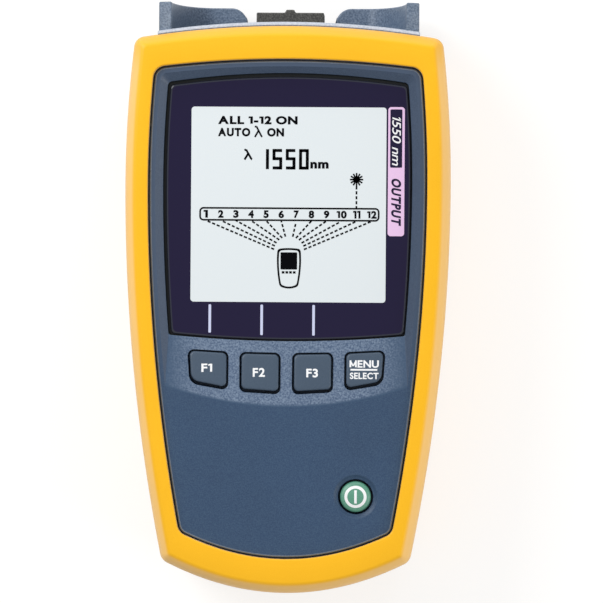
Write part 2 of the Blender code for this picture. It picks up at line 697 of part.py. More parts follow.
def neck_outline():
    """The neck seen from the front: straight sides between two arches that follow the holster's top."""
    low = CASE.inset(-GAP)
    steps = 2 * TOP_STEPS
    across = [NECK_HALF_WIDTH * (2 * i / steps - 1) for i in range(steps + 1)]
    high_edge = [(x, NECK_TOP_Y - x * x / (2 * TOP_RADIUS)) for x in reversed(across)]
    return [low.top(x)[0] for x in across] + high_edge


def guard(side):
    """One connector guard: an outer post and a lower back wall, joined by a hollow sweep."""
    sweep_x = GUARD_OUTER_X - GUARD_POST - GUARD_SWEEP
    floor_z = GUARD_LOW_Z + GUARD_WALL
    section = [(GUARD_INNER_X, GUARD_LOW_Z), (GUARD_OUTER_X, GUARD_LOW_Z), (GUARD_OUTER_X, GUARD_HIGH_Z)]
    for i in range(9):
        angle = math.pi / 2 * i / 8
        section.append((sweep_x + GUARD_SWEEP * math.cos(angle),
                        GUARD_HIGH_Z - (GUARD_HIGH_Z - floor_z) * math.sin(angle)))
    section.append((GUARD_INNER_X, floor_z))
    section = [(side * x, z) for x, z in section]
    name = "right" if side > 0 else "left"
    root_y = CASE.inset(-2 * GAP).top(GUARD_INNER_X)[0].y
    body = prism(f"guard_{name}", section, root_y, GUARD_END_Y, axis="Y", smooth=True)
    centre = Vector((GUARD_INNER_X + GUARD_ROUND, GUARD_END_Y - GUARD_ROUND))
    shape = [Vector((GUARD_INNER_X - OVERSHOOT, GUARD_END_Y - GUARD_ROUND)),
             Vector((GUARD_INNER_X - OVERSHOOT, GUARD_END_Y + OVERSHOOT)),
             Vector((GUARD_INNER_X + GUARD_ROUND, GUARD_END_Y + OVERSHOOT))]
    for i in range(7):
        angle = math.pi / 2 * (1 + i / 6)
        shape.append(centre + GUARD_ROUND * Vector((math.cos(angle), math.sin(angle))))
    shape = [(side * point.x, point.y) for point in shape]
    corner = prism(f"guard_round_{name}", shape, GUARD_LOW_Z - OVERSHOOT, GUARD_HIGH_Z)
    return body, corner


def make_rear_case():
    """The rear shell: battery bay, screw columns, and the openings for the port and its guard's hooks."""
    groove_depth = SEAL_HEIGHT + GAP
    groove_in = (CASE_WALL - SEAL_WIDTH) / 2 - GAP
    groove_out = (CASE_WALL + SEAL_WIDTH) / 2 + GAP
    floor_z = CASE_BACK_Z + CASE_WALL
    rings = []
    for across, up in reversed(quarter()):
        rings.append(at_height(CASE.inset(across * CASE_ROUND).points(), CASE_BACK_Z + (1 - up) * CASE_ROUND))
    rings.append(at_height(CASE.points(), SEAM_Z))
    rings.append(at_height(CASE.inset(groove_in).points(), SEAM_Z))
    rings.append(at_height(CASE.inset(groove_in).points(), SEAM_Z - groove_depth))
    rings.append(at_height(CASE.inset(groove_out).points(), SEAM_Z - groove_depth))
    rings.append(at_height(CASE.inset(groove_out).points(), SEAM_Z))
    rings.append(at_height(CASE.inset(CASE_WALL).points(), SEAM_Z))
    for across, up in quarter(2):
        rings.append(at_height(CASE.inset(CASE_WALL + across * CASE_ROUND / 2).points(),
                               floor_z + (1 - up) * CASE_ROUND / 2))
    case = loft("rear_case", rings, "slate_plastic", smooth=True)
    cut(case, port_hole("case_port_hole"))
    for side in (-1, 1):
        cut(case, box(f"hook_window_{side}", *hook_arm(side, GAP)))
    bay_low = (-BAY_HALF_WIDTH - BAY_WALL, BAY_BOTTOM_Y - BAY_WALL, CASE_BACK_Z + GAP)
    bay_high = (BAY_HALF_WIDTH + BAY_WALL, BAY_TOP_Y + BAY_WALL, BAY_ROOF_Z)
    frame = rectangle(DOOR_HALF_WIDTH + FRAME_BORDER, DOOR_BOTTOM_Y - FRAME_BORDER, DOOR_TOP_Y + FRAME_BORDER)
    join(case, prism("door_frame", frame, CASE_BACK_Z + GAP, FRAME_TOP_Z), box("bay", bay_low, bay_high))
    boss_top = CASE_BACK_Z + 2 * GAP + DOOR_SCREW_HEIGHT + DOOR_THICKNESS
    join(case, rod("door_boss", (0, DOOR_SCREW_Y), [(DOOR_BOSS_RADIUS, FRAME_TOP_Z - GAP),
                                                    (DOOR_BOSS_RADIUS, boss_top)]))
    for n, (x, y) in enumerate(mirrored(CASE_SCREWS)):
        sections = [(COLUMN_RADIUS, CASE_BACK_Z + GAP), (COLUMN_RADIUS, SEAM_Z - GAP)]
        join(case, rod(f"column_{n}", (x, y), sections))
    inner = rectangle(BAY_HALF_WIDTH, BAY_BOTTOM_Y, BAY_TOP_Y)
    cut(case, prism("bay_space", inner, CASE_BACK_Z - OVERSHOOT, BAY_CEILING_Z))
    door_seat = rounded(rectangle(DOOR_HALF_WIDTH + GAP, DOOR_BOTTOM_Y - GAP, DOOR_TOP_Y + GAP), DOOR_CORNER)
    cut(case, prism("door_seat", door_seat, CASE_BACK_Z - OVERSHOOT, DOOR_TOP_Z + GAP))
    for side in (-1, 1):
        tongue = tongue_box(side, GAP)
        cut(case, box(f"tongue_slot_{side}", *tongue))
    hole = CASE_SHANK_RADIUS + GAP
    screw = [(hole, CASE_BACK_Z), (hole, boss_top - GAP * 2)]
    cut(case, rod("door_screw_hole", (0, DOOR_SCREW_Y), screw, sides=12))
    for n, (x, y) in enumerate(mirrored(CASE_SCREWS)):
        wide = CASE_HEAD_RADIUS + GAP
        cut(case, rod(f"counterbore_{n}", (x, y), [(wide, CASE_BACK_Z - OVERSHOOT), (wide, SCREW_SEAT_Z)],
                      sides=16))
        cut(case, rod(f"shank_hole_{n}", (x, y), [(hole, SCREW_SEAT_Z - GAP), (hole, SEAM_Z + GAP)], sides=12))
    return case


def port_hole(name):
    """The opening that the adapter passes through."""
    high_z = PORT_Z + ADAPTER_HALF_HEIGHT + GAP
    return box(name, (-ADAPTER_HALF_WIDTH - GAP, ADAPTER_BACK_Y, PORT_Z - ADAPTER_HALF_HEIGHT - GAP),
               (ADAPTER_HALF_WIDTH + GAP, GUARD_END_Y, high_z))


def hook_end_y():
    """The inside of the case's wall, at the side of a hook that is further from the middle."""
    return CASE.inset(CASE_WALL).top(HOOK_X + HOOK_WIDTH / 2)[0].y - GAP


def hook_arm(side, grow):
    """The two corners of a hook's arm, which reaches through the case's wall."""
    low = (side * HOOK_X - HOOK_WIDTH / 2 - grow, hook_end_y() - HOOK_LENGTH - grow, PORT_Z - grow)
    high = (side * HOOK_X + HOOK_WIDTH / 2 + grow, NECK_TOP_Y - HOOK_ROOT, PORT_Z + HOOK_THICKNESS + grow)
    return low, high


def make_port_guard():
    """The neck and the two guards, one moulding that two hooks hold on the case's wall."""
    frame = prism("port_guard", neck_outline(), NECK_LOW_Z, NECK_HIGH_Z, "slate_plastic", smooth=True)
    for side in (-1, 1):
        body, corner = guard(side)
        cut(body, corner)
        join(frame, body)
        low, high = hook_arm(side, 0)
        nose_low = (low[0], low[1], low[2] - HOOK_NOSE)
        nose_high = (high[0], low[1] + HOOK_LENGTH, high[2] - HOOK_NOSE / 2)
        join(frame, box(f"hook_{side}", low, high), box(f"hook_nose_{side}", nose_low, nose_high))
    cut(frame, port_hole("guard_port_hole"))


def tongue_box(side, grow):
    """The two corners of a tongue at the lower end of the battery door."""
    low_z = DOOR_TOP_Z - TONGUE_THICKNESS
    low = (side * TONGUE_X - TONGUE_WIDTH / 2 - grow, DOOR_BOTTOM_Y - TONGUE_LENGTH - grow, low_z - grow)
    high = (side * TONGUE_X + TONGUE_WIDTH / 2 + grow, DOOR_BOTTOM_Y + TONGUE_LENGTH, DOOR_TOP_Z + grow)
    return low, high


def make_seal():
    """The rubber cord in the groove of the rear case."""
    inner = (CASE_WALL + SEAL_WIDTH) / 2
    outer = (CASE_WALL - SEAL_WIDTH) / 2
    low_z, high_z = SEAM_Z - SEAL_HEIGHT, SEAM_Z
    rings = [at_height(CASE.inset(outer).points(), low_z), at_height(CASE.inset(outer).points(), high_z),
             at_height(CASE.inset(inner).points(), high_z), at_height(CASE.inset(inner).points(), low_z)]
    return closed_ring("case_seal", rings, "dark_rubber")


def make_display():
    """Lens, LCD panel, its light guide, contact strip and holder."""
    prism("display_lens", LENS.points(), LENS_BACK_Z, LENS_TOP_Z, "printed_window")
    low_y, high_y = WINDOW_BOTTOM_Y - LCD_END_LAP, WINDOW_TOP_Y + LCD_END_LAP
    half = WINDOW_HALF_WIDTH + LCD_SIDE_LAP
    box("lcd_panel", (-half, low_y, GLASS_Z), (half, high_y, CEILING_Z), "lcd_grey")
    strip_y = low_y + STRIP_WIDTH
    base_z = BOARD_TOP_Z + GAP
    box("contact_strip", (-half + STRIP_WIDTH, low_y, base_z), (half - STRIP_WIDTH, strip_y, GLASS_Z - GAP),
        "dark_rubber")
    box("light_guide", (-half, strip_y + GAP, base_z), (half, high_y, GLASS_Z - GAP), "clear_plastic")
    wall = LCD_HOLDER_WALL + GAP
    holder = box("lcd_holder", (-half - wall, low_y - wall, base_z), (half + wall, high_y + wall, CEILING_Z),
                 "white_plastic")
    cut(holder, box("holder_space", (-half - GAP, low_y - GAP, base_z - OVERSHOOT),
                    (half + GAP, high_y + GAP, CEILING_Z + OVERSHOOT)))


def make_keys():
    """Four keys on the ramp and the power key, each with a flange under the case and a stem."""
    for index, name in enumerate(KEY_NAMES):
        outline = key_outline(index)
        flange_z = CEILING_Z - KEY_FLANGE_THICKNESS
        flange = key_outline(index, KEY_FLANGE)
        rings = [at_height(flange, flange_z), at_height(flange, CEILING_Z), at_height(outline, CEILING_Z)]
        for across, up in quarter(3):
            edge = key_outline(index, -across * KEY_PROUD)
            rings.append([(p[0], p[1], ramp_height(p[1]) + up * KEY_PROUD) for p in edge])
        key = loft(name, rings, "key_rubber", smooth=True)
        stem = [(STEM_RADIUS, STEM_END_Z), (STEM_RADIUS, CEILING_Z)]
        join(key, rod(f"{name}_stem", key_stem_place(index), stem))
    centre = (POWER_X, POWER_Y)
    sections = [(STEM_RADIUS, STEM_END_Z), (STEM_RADIUS, CEILING_Z - KEY_FLANGE_THICKNESS),
                (POWER_RADIUS + KEY_FLANGE, CEILING_Z - KEY_FLANGE_THICKNESS),
                (POWER_RADIUS + KEY_FLANGE, CEILING_Z), (POWER_RADIUS, CEILING_Z)]
    for across, up in quarter(3):
        sections.append((POWER_RADIUS - across * KEY_PROUD, FACE_Z - (1 - up) * KEY_PROUD))
    rod("power_key", centre, sections, "green_key", sides=28)


def dome(name, centre):
    sections = [(DOME_RADIUS, MAT_TOP_Z - GAP), (DOME_RADIUS, MAT_TOP_Z), (STEM_RADIUS + GAP, DOME_TOP_Z)]
    return rod(name, centre, sections)


def make_mats():
    """The two silicone mats, with a dome under each key."""
    base_z = BOARD_TOP_Z + GAP
    places = [key_stem_place(index) for index in range(len(KEY_NAMES))]
    low_y = min(y for _, y in places) - DOME_RADIUS - MAT_BORDER
    high_y = max(y for _, y in places) + DOME_RADIUS + MAT_BORDER
    half = max(x for x, _ in places) + DOME_RADIUS + MAT_BORDER
    mat = box("keypad_mat", (-half, low_y, base_z), (half, high_y, MAT_TOP_Z), "dark_rubber")
    for n, centre in enumerate(places):
        join(mat, dome(f"dome_{n}", centre))
    reach = DOME_RADIUS + MAT_BORDER
    low = (POWER_X - reach, POWER_Y - reach, base_z)
    mat = box("power_mat", low, (POWER_X + reach, POWER_Y + reach, MAT_TOP_Z), "dark_rubber")
    join(mat, dome("power_dome", (POWER_X, POWER_Y)))


def screw_notch(x, y, radius):
    """A notch round a case screw, seen from the front: half a circle, open towards the case's side."""
    side = math.copysign(1, x)
    angles = [math.pi * (i / 8 + 0.5) for i in range(9)]
    inner = [(x + side * radius * math.cos(a), y + radius * math.sin(a)) for a in angles]
    return inner + [(side * CASE.half_width, y - radius), (side * CASE.half_width, y + radius)]


def make_board():
    """The main board and its screws."""
    inner = CASE.inset(CASE_WALL + BOARD_SIDE_GAP)
    heights = [BOARD_TOP_Y, WIDEST_Y, 0, BOARD_BOTTOM_Y / 2, BOARD_BOTTOM_Y]
    right = [tuple(inner.side(y)[0]) for y in heights]
    outline = right + [(-x, y) for x, y in reversed(right)]
    board = prism("main_board", outline, BOARD_Z, BOARD_TOP_Z, "board_green")
    for n, (x, y) in enumerate(mirrored(CASE_SCREWS)):
        notch = screw_notch(x, y, BOSS_RADIUS + GAP)
        cut(board, prism(f"board_notch_{n}", notch, BOARD_Z - OVERSHOOT, BOARD_TOP_Z + OVERSHOOT))
    hole = BOARD_SHANK_RADIUS + GAP
    head_z = BOARD_Z - GAP - BOARD_HEAD_HEIGHT
    for n, (x, y) in enumerate(mirrored(BOARD_SCREWS)):
        cut(board, rod(f"board_hole_{n}", (x, y), [(hole, BOARD_Z - OVERSHOOT), (hole, BOARD_TOP_Z + OVERSHOOT)],
                       sides=8))
        sections = [(BOARD_HEAD_RADIUS, head_z), (BOARD_HEAD_RADIUS, BOARD_Z - GAP),
                    (BOARD_SHANK_RADIUS, BOARD_Z - GAP), (BOARD_SHANK_RADIUS, FACE_INNER_Z - BOARD_TIP_SPACE)]
        rod(f"board_screw_{n + 1}", (x, y), sections, "steel", sides=8)


def chip(name, size, x, y, low_z):
    low = (x - size / 2, y - size / 2, low_z)
    box(name, low, (x + size / 2, y + size / 2, low_z + CHIP_HEIGHT), "black_plastic")


def make_case_screws():
    for n, (x, y) in enumerate(mirrored(CASE_SCREWS)):
        seat = SCREW_SEAT_Z - GAP
        sections = [(CASE_HEAD_RADIUS, seat - CASE_HEAD_HEIGHT), (CASE_HEAD_RADIUS, seat),
                    (CASE_SHANK_RADIUS, seat), (CASE_SHANK_RADIUS, FACE_INNER_Z - SCREW_TIP_SPACE)]
        rod(f"case_screw_{n + 1}", (x, y), sections, "steel", sides=12)


def port_box(name, half_width, half_height, low_y, high_y, finish=None):
    low = (-half_width, low_y, PORT_Z - half_height)
    return box(name, low, (half_width, high_y, PORT_Z + half_height), finish)


def make_port():
    """The fibre port: adapter, its clip, the plug behind it and the dust cap."""
    wall_y = CASE.inset(CASE_WALL).top(ADAPTER_HALF_WIDTH + ADAPTER_FLANGE)[0].y - GAP
    flange_y = wall_y - ADAPTER_FLANGE_DEPTH
    end_y = NECK_TOP_Y - ADAPTER_HALF_WIDTH ** 2 / (2 * TOP_RADIUS)
    adapter = port_box("port_adapter", ADAPTER_HALF_WIDTH, ADAPTER_HALF_HEIGHT, ADAPTER_BACK_Y, end_y,
                       "black_plastic")
    join(adapter, port_box("adapter_flange", ADAPTER_HALF_WIDTH + ADAPTER_FLANGE,
                           ADAPTER_HALF_HEIGHT + ADAPTER_FLANGE, flange_y, wall_y))
    cut(adapter,
        port_box("front_socket", SOCKET_HALF_WIDTH, SOCKET_HALF_HEIGHT, WEB_Y + WEB_THICKNESS, NECK_TOP_Y),
        port_box("rear_socket", SOCKET_HALF_WIDTH, SOCKET_HALF_HEIGHT, ADAPTER_BACK_Y - OVERSHOOT, WEB_Y),
        port_box("ferrule_way", FERRULE_HALF_WIDTH + GAP, FERRULE_HALF_HEIGHT + GAP, WEB_Y - OVERSHOOT,
                 WEB_Y + WEB_THICKNESS + OVERSHOOT))
    clip = port_box("adapter_clip", ADAPTER_HALF_WIDTH + ADAPTER_FLANGE, ADAPTER_HALF_HEIGHT + ADAPTER_FLANGE,
                    flange_y - GAP - CLIP_THICKNESS, flange_y - GAP, "steel")
    cut(clip, port_box("clip_hole", ADAPTER_HALF_WIDTH + GAP, ADAPTER_HALF_HEIGHT + GAP, ADAPTER_BACK_Y, wall_y))
    plug_y = WEB_Y - GAP
    plug = port_box("inner_plug", SOCKET_HALF_WIDTH - GAP, SOCKET_HALF_HEIGHT - GAP, plug_y - PLUG_LENGTH, plug_y,
                    "fibre_jacket")
    boot_y = plug_y - PLUG_LENGTH - BOOT_LENGTH
    wide = [(x, PORT_Z + z) for x, z in rectangle(SOCKET_HALF_HEIGHT, -SOCKET_HALF_HEIGHT / 2,
                                                  SOCKET_HALF_HEIGHT / 2)]
    narrow = [(x / 2, (z + PORT_Z) / 2) for x, z in wide]
    boot = loft("plug_boot", [[place(p, boot_y, "Y") for p in narrow],
                              [place(p, plug_y - PLUG_LENGTH / 2, "Y") for p in wide]])
    join(plug, boot, port_box("ferrule", FERRULE_HALF_WIDTH, FERRULE_HALF_HEIGHT, plug_y - PLUG_LENGTH / 2,
                              plug_y + FERRULE_LENGTH))
    make_cap()
    return boot_y


def make_cap():
    """The dust cap: a plug in the socket, a plate over it and a small pull tab."""
    low_y = NECK_TOP_Y + GAP
    high_y = low_y + CAP_THICKNESS
    tab_y = high_y + CAP_TAB_HEIGHT
    foot = CAP_TAB_HALF_WIDTH + CAP_TAB_SLOPE
    profile = [(-CAP_HALF_WIDTH, low_y), (CAP_HALF_WIDTH, low_y), (CAP_HALF_WIDTH, high_y), (foot, high_y),
               (CAP_TAB_HALF_WIDTH, tab_y), (-CAP_TAB_HALF_WIDTH, tab_y), (-foot, high_y),
               (-CAP_HALF_WIDTH, high_y)]
    cap = prism("port_cap", profile, PORT_Z - CAP_HALF_HEIGHT, PORT_Z + CAP_HALF_HEIGHT, "black_plastic")
    half_width, half_height = SOCKET_HALF_WIDTH - GAP, SOCKET_HALF_HEIGHT - GAP
    end_y = low_y - CAP_PLUG_LENGTH
    join(cap, port_box("cap_plug", half_width, half_height, end_y, low_y + CAP_THICKNESS / 2))
    cut(cap, port_box("cap_hollow", half_width - CAP_WALL, half_height - CAP_WALL, end_y - OVERSHOOT, low_y))


def make_module(boot_y):
    """The light source module under the board, its ribbon to the plug, and the chips of the board."""
    high_z = BOARD_Z - GAP
    low_z = high_z - MODULE_HEIGHT
    nose_z = low_z + MODULE_HEIGHT / 2 - RIBBON_THICKNESS
    nose_y = boot_y - 2 * GAP - RIBBON_LENGTH
    front_y = nose_y - NOSE_LENGTH
    back_y = front_y - MODULE_LENGTH
    module = box("laser_module", (-MODULE_HALF_WIDTH, back_y, low_z),
                 (MODULE_HALF_WIDTH, front_y, high_z), "steel")
    middle = (back_y + front_y) / 2
    ears = box("module_ears", (-MODULE_HALF_WIDTH - MODULE_EAR, middle - MODULE_EAR, high_z - MODULE_EAR_THICKNESS),
               (MODULE_HALF_WIDTH + MODULE_EAR, middle + MODULE_EAR, high_z - GAP))
    nose = rod("module_nose", (0, nose_z), [(NOSE_RADIUS, middle), (NOSE_RADIUS, nose_y)], axis="Y")
    join(module, ears, nose)
    rings = []
    for i in range(RIBBON_STEPS + 1):
        share = i / RIBBON_STEPS
        y = nose_y + GAP + share * RIBBON_LENGTH
        z = nose_z + (PORT_Z - nose_z) * (3 * share ** 2 - 2 * share ** 3)
        flat = rectangle(RIBBON_HALF_WIDTH, -RIBBON_THICKNESS / 2, RIBBON_THICKNESS / 2)
        rings.append([(x, y, z + v) for x, v in flat])
    loft("fibre_ribbon", rings, "fibre_jacket")
    driver_x = -MODULE_HALF_WIDTH - DRIVER_MODULE_SPACE - DRIVER_SIZE / 2
    chip("driver_chip", DRIVER_SIZE, driver_x, front_y + DRIVER_SIZE / 2, high_z - CHIP_HEIGHT)
    processor_y = KEY_BOTTOM_Y - PROCESSOR_KEY_SPACE - PROCESSOR_SIZE / 2
    chip("processor", PROCESSOR_SIZE, 0, processor_y, BOARD_TOP_Z + GAP)


def make_cell(name, x, nub_y, direction):
    """An AA cell along Y. Its nub ends at nub_y and points in the direction given."""
    shoulder = nub_y - direction * CELL_NUB_HEIGHT
    end = nub_y - direction * CELL_LENGTH
    edge = direction * CELL_SPACING
    sections = [(CELL_RADIUS - CELL_SPACING, end), (CELL_RADIUS, end + edge), (CELL_RADIUS, shoulder - edge),
                (CELL_RADIUS - CELL_SPACING, shoulder), (CELL_NUB_RADIUS, shoulder), (CELL_NUB_RADIUS, nub_y)]
    rod(name, (x, CELL_Z), sections, "cell_jacket", axis="Y", sides=24)


def make_spring(name, x, plate_y, direction):
    """A conical coil between a contact plate and the flat end of a cell."""
    steps = round(SPRING_TURNS * SPRING_STEPS)
    rise = SPRING_HEIGHT - 2 * SPRING_WIRE - 2 * GAP
    rings = []
    for i in range(steps + 1):
        share = i / steps
        angle = 2 * math.pi * SPRING_TURNS * share
        radius = SPRING_BASE_RADIUS + (SPRING_TIP_RADIUS - SPRING_BASE_RADIUS) * share
        y = plate_y + direction * (GAP + SPRING_WIRE + share * rise)
        rings.append([(x + (radius + u) * math.cos(angle), y + v, CELL_Z + (radius + u) * math.sin(angle))
                      for u, v in circle((0, 0), SPRING_WIRE, 6)])
    loft(name, rings, "steel", smooth=True)


def make_batteries():
    """Two cells side by side, with a linked pair of contacts above them and two single ones below."""
    low_y = BAY_BOTTOM_Y + GAP
    high_y = BAY_TOP_Y - GAP
    low_z, high_z = CELL_Z - PLATE_HEIGHT / 2, CELL_Z + PLATE_HEIGHT / 2
    make_cell("battery_1", -CELL_X, high_y - PLATE_THICKNESS - GAP, 1)
    make_cell("battery_2", CELL_X, low_y + PLATE_THICKNESS + GAP, -1)
    reach = CELL_X + PLATE_HALF_WIDTH
    box("contact_link", (-reach, high_y - PLATE_THICKNESS, low_z), (reach, high_y, high_z), "steel")
    for name, x in (("contact_minus", -CELL_X), ("contact_plus", CELL_X)):
        box(name, (x - PLATE_HALF_WIDTH, low_y, low_z), (x + PLATE_HALF_WIDTH, low_y + PLATE_THICKNESS, high_z),
            "steel")
    make_spring("battery_spring_1", -CELL_X, low_y + PLATE_THICKNESS, 1)
    make_spring("battery_spring_2", CELL_X, high_y - PLATE_THICKNESS, -1)


def make_door():
    """The battery door, its two tongues and its screw."""
    outline = rounded(rectangle(DOOR_HALF_WIDTH, DOOR_BOTTOM_Y, DOOR_TOP_Y), DOOR_CORNER)
    door = prism("battery_door", outline, CASE_BACK_Z, DOOR_TOP_Z, "slate_plastic")
    for side in (-1, 1):
        join(door, box(f"tongue_{side}", *tongue_box(side, 0)))
    centre = (0, DOOR_SCREW_Y)
    head = CASE_HEAD_RADIUS
    head_top = CASE_BACK_Z + GAP + DOOR_THICKNESS / 2
    cut(door, rod("door_counterbore", centre, [(head + GAP, CASE_BACK_Z - OVERSHOOT), (head + GAP, head_top + GAP)],
                  sides=16))
    hole = CASE_SHANK_RADIUS + GAP
    cut(door, rod("door_hole", centre, [(hole, CASE_BACK_Z), (hole, DOOR_TOP_Z + OVERSHOOT)], sides=12))
    sections = [(head, CASE_BACK_Z + GAP), (head, head_top), (CASE_SHANK_RADIUS, head_top),
                (CASE_SHANK_RADIUS, CASE_BACK_Z + GAP + DOOR_SCREW_HEIGHT)]
    rod("door_screw", centre, sections, "steel", sides=12)


def clear_scene():
    for piece in list(bpy.data.objects):
        bpy.data.objects.remove(piece, do_unlink=True)


clear_scene()
make_holster()
make_front_case()
make_rear_case()
make_port_guard()
make_seal()
make_display()
make_keys()
make_mats()
make_board()
make_case_screws()
make_module(make_port())
make_batteries()
make_door()
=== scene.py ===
import json
import math

import bmesh
import bpy
import numpy as np
from mathutils import Matrix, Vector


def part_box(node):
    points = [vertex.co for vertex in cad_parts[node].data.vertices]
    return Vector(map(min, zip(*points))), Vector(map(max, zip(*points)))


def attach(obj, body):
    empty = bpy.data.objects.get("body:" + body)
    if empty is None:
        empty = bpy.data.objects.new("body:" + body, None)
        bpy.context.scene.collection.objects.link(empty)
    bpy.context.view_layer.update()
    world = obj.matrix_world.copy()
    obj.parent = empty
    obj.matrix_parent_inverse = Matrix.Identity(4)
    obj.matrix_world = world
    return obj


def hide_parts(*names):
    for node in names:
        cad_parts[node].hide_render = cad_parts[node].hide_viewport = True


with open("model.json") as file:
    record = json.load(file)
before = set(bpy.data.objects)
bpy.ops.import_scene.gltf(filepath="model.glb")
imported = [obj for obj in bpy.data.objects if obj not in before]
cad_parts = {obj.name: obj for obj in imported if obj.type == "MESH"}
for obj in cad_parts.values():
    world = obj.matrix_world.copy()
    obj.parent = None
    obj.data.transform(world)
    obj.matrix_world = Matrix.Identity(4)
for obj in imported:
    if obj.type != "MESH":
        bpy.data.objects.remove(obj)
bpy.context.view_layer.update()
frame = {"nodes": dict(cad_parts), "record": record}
print("frame loaded:", len(frame["nodes"]), "solids")

# All lengths below are in millimetres. They become metres when a mesh is made.
millimetre = 0.001


def boxOf(node):
    # Lowest and highest corner of a solid of the frame
    low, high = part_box(node)
    return np.array(low) / millimetre, np.array(high) / millimetre


# Meshes


def makeMesh(name, points, faces, sharpAngle=30.0, splitBent=False):
    # Points and faces as a mesh whose faces point outwards, with soft shading below the sharp angle
    mesh = bpy.data.meshes.new(name)
    mesh.from_pydata((np.asarray(points) * millimetre).tolist(), [], faces)
    shape = bmesh.new()
    shape.from_mesh(mesh)
    if splitBent:
        bmesh.ops.connect_verts_nonplanar(shape, angle_limit=0.0005, faces=shape.faces)
    bmesh.ops.recalc_face_normals(shape, faces=shape.faces)
    shape.to_mesh(mesh)
    shape.free()
    mesh.shade_smooth()
    mesh.set_sharp_from_angle(angle=math.radians(sharpAngle))
    return mesh


def gridFaces(rings, count, loop=False):
    # Four-sided faces between ring k and ring k + 1 of a grid; each ring is closed
    k, i = np.meshgrid(np.arange(rings if loop else rings - 1), np.arange(count), indexing="ij")
    j, above = (i + 1) % count, (k + 1) % rings
    return np.stack([k * count + i, k * count + j, above * count + j, above * count + i], -1).reshape(-1, 4)


def gridMesh(name, grid, splitBent=False):
    # grid[k, i] is point i of ring k. Flat faces close both ends
    rings, count = grid.shape[:2]
    ends = [list(range(count)), list(range((rings - 1) * count, rings * count))]
    return makeMesh(name, grid.reshape(-1, 3), gridFaces(rings, count).tolist() + ends, splitBent=splitBent)


def atHeight(outline, z):
    # A flat outline as points at a height
    return np.column_stack([outline, np.full(len(outline), z)])


def prismMesh(name, outline, low, high):
    # An outline carried straight up between two heights
    return gridMesh(name, np.stack([atHeight(outline, low), atHeight(outline, high)]))


def newObject(name, data):
    # An object that stands in the scene
    item = bpy.data.objects.new(name, data)
    bpy.context.scene.collection.objects.link(item)
    return item


def addPiece(name, mesh, materials, body="instrument", replaced=()):
    # A finished piece that moves with a body of the frame
    piece = newObject(name, mesh)
    for material in materials:
        piece.data.materials.append(material)
    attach(piece, body)
    if replaced:
        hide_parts(*replaced)
    return piece


def cutOut(piece, meshes):
    # Cuts closed meshes out of a piece, and keeps the shape that this gives
    cutters = [newObject(mesh.name, mesh) for mesh in meshes]
    for cutter in cutters:
        modifier = piece.modifiers.new(cutter.name, "BOOLEAN")
        modifier.operation = "DIFFERENCE"
        modifier.solver = "EXACT"
        modifier.object = cutter
    graph = bpy.context.evaluated_depsgraph_get()
    baked = bpy.data.meshes.new_from_object(piece.evaluated_get(graph))
    baked.name = piece.name
    piece.modifiers.clear()
    piece.data = baked
    for cutter in cutters:
        bpy.data.objects.remove(cutter, do_unlink=True)


def evenNormals(piece):
    # Shades the large faces flat right up to their rounded edges
    normals = piece.modifiers.new("evenNormals", "WEIGHTED_NORMAL")
    normals.mode = "FACE_AREA"
    normals.weight = 100
    normals.keep_sharp = True


def softEdges(piece, width, segments=3, angle=40.0):
    # Rounds the edges that bend by more than the angle
    bevel = piece.modifiers.new("softEdges", "BEVEL")
    bevel.width = width * millimetre
    bevel.segments = segments
    bevel.limit_method = "ANGLE"
    bevel.angle_limit = math.radians(angle)
    bevel.use_clamp_overlap = False
    evenNormals(piece)


# Flat print is a set of thin plates. A plate is a pair: points and triangles.
def gather(plates):
    # Several plates as one: the second one's triangles count on from the first one's points, and so on
    starts = np.cumsum([0] + [len(points) for points, triangles in plates[:-1]])
    points = np.concatenate([points for points, triangles in plates])
    triangles = np.concatenate([plate[1] + start for plate, start in zip(plates, starts)])
    return points, triangles


def bars(starts, ends, width, low, high):
    # Straight bars from start to end: the four corners are the ends moved half a width along the side normal
    starts, ends = np.atleast_2d(starts).astype(float), np.atleast_2d(ends).astype(float)
    along = (ends - starts) / np.linalg.norm(ends - starts, axis=1, keepdims=True)
    across = np.stack([-along[:, 1], along[:, 0]], 1) * (np.atleast_1d(width)[:, None] / 2)
    flat = np.stack([starts + across, starts - across, ends - across, ends + across], 1)
    levels = [np.dstack([flat, np.full(flat.shape[:2], z)]) for z in (low, high)]
    points = np.concatenate(levels, 1).reshape(-1, 3)
    box = np.array([[0, 1, 2], [0, 2, 3], [4, 6, 5], [4, 7, 6], [0, 5, 1], [0, 4, 5], [1, 6, 2], [1, 5, 6],
                    [2, 7, 3], [2, 6, 7], [3, 4, 0], [3, 7, 4]])
    triangles = (box[None] + 8 * np.arange(len(starts))[:, None, None]).reshape(-1, 3)
    return points, triangles


def bentBar(start, end, pieces, width, low, high):
    # A straight bar in short pieces, so that it can be laid on a curved top
    points = np.linspace(start, end, pieces + 1)
    return bars(points[:-1], points[1:], width, low, high)


def laidOn(heightAt, plates):
    # Flat print laid on a curved top: its height becomes the top's height there plus its own
    laid = []
    for points, triangles in plates:
        x, y, z = points.T
        laid.append((np.column_stack([x, y, z + heightAt(x, y)]), triangles))
    return laid


def dashes(starts, ends, dash, space, width, low, high):
    # Dashed lines: bar n of a line runs from n (dash + space) to n (dash + space) + dash
    plates = []
    for start, end in zip(np.atleast_2d(starts), np.atleast_2d(ends)):
        length = np.linalg.norm(end - start)
        offsets = np.arange(0, length - dash / 2, dash + space)[:, None]
        stops = np.minimum(offsets + dash, length)
        plates.append(bars(start + (end - start) * offsets / length, start + (end - start) * stops / length,
                           width, low, high))
    return gather(plates)


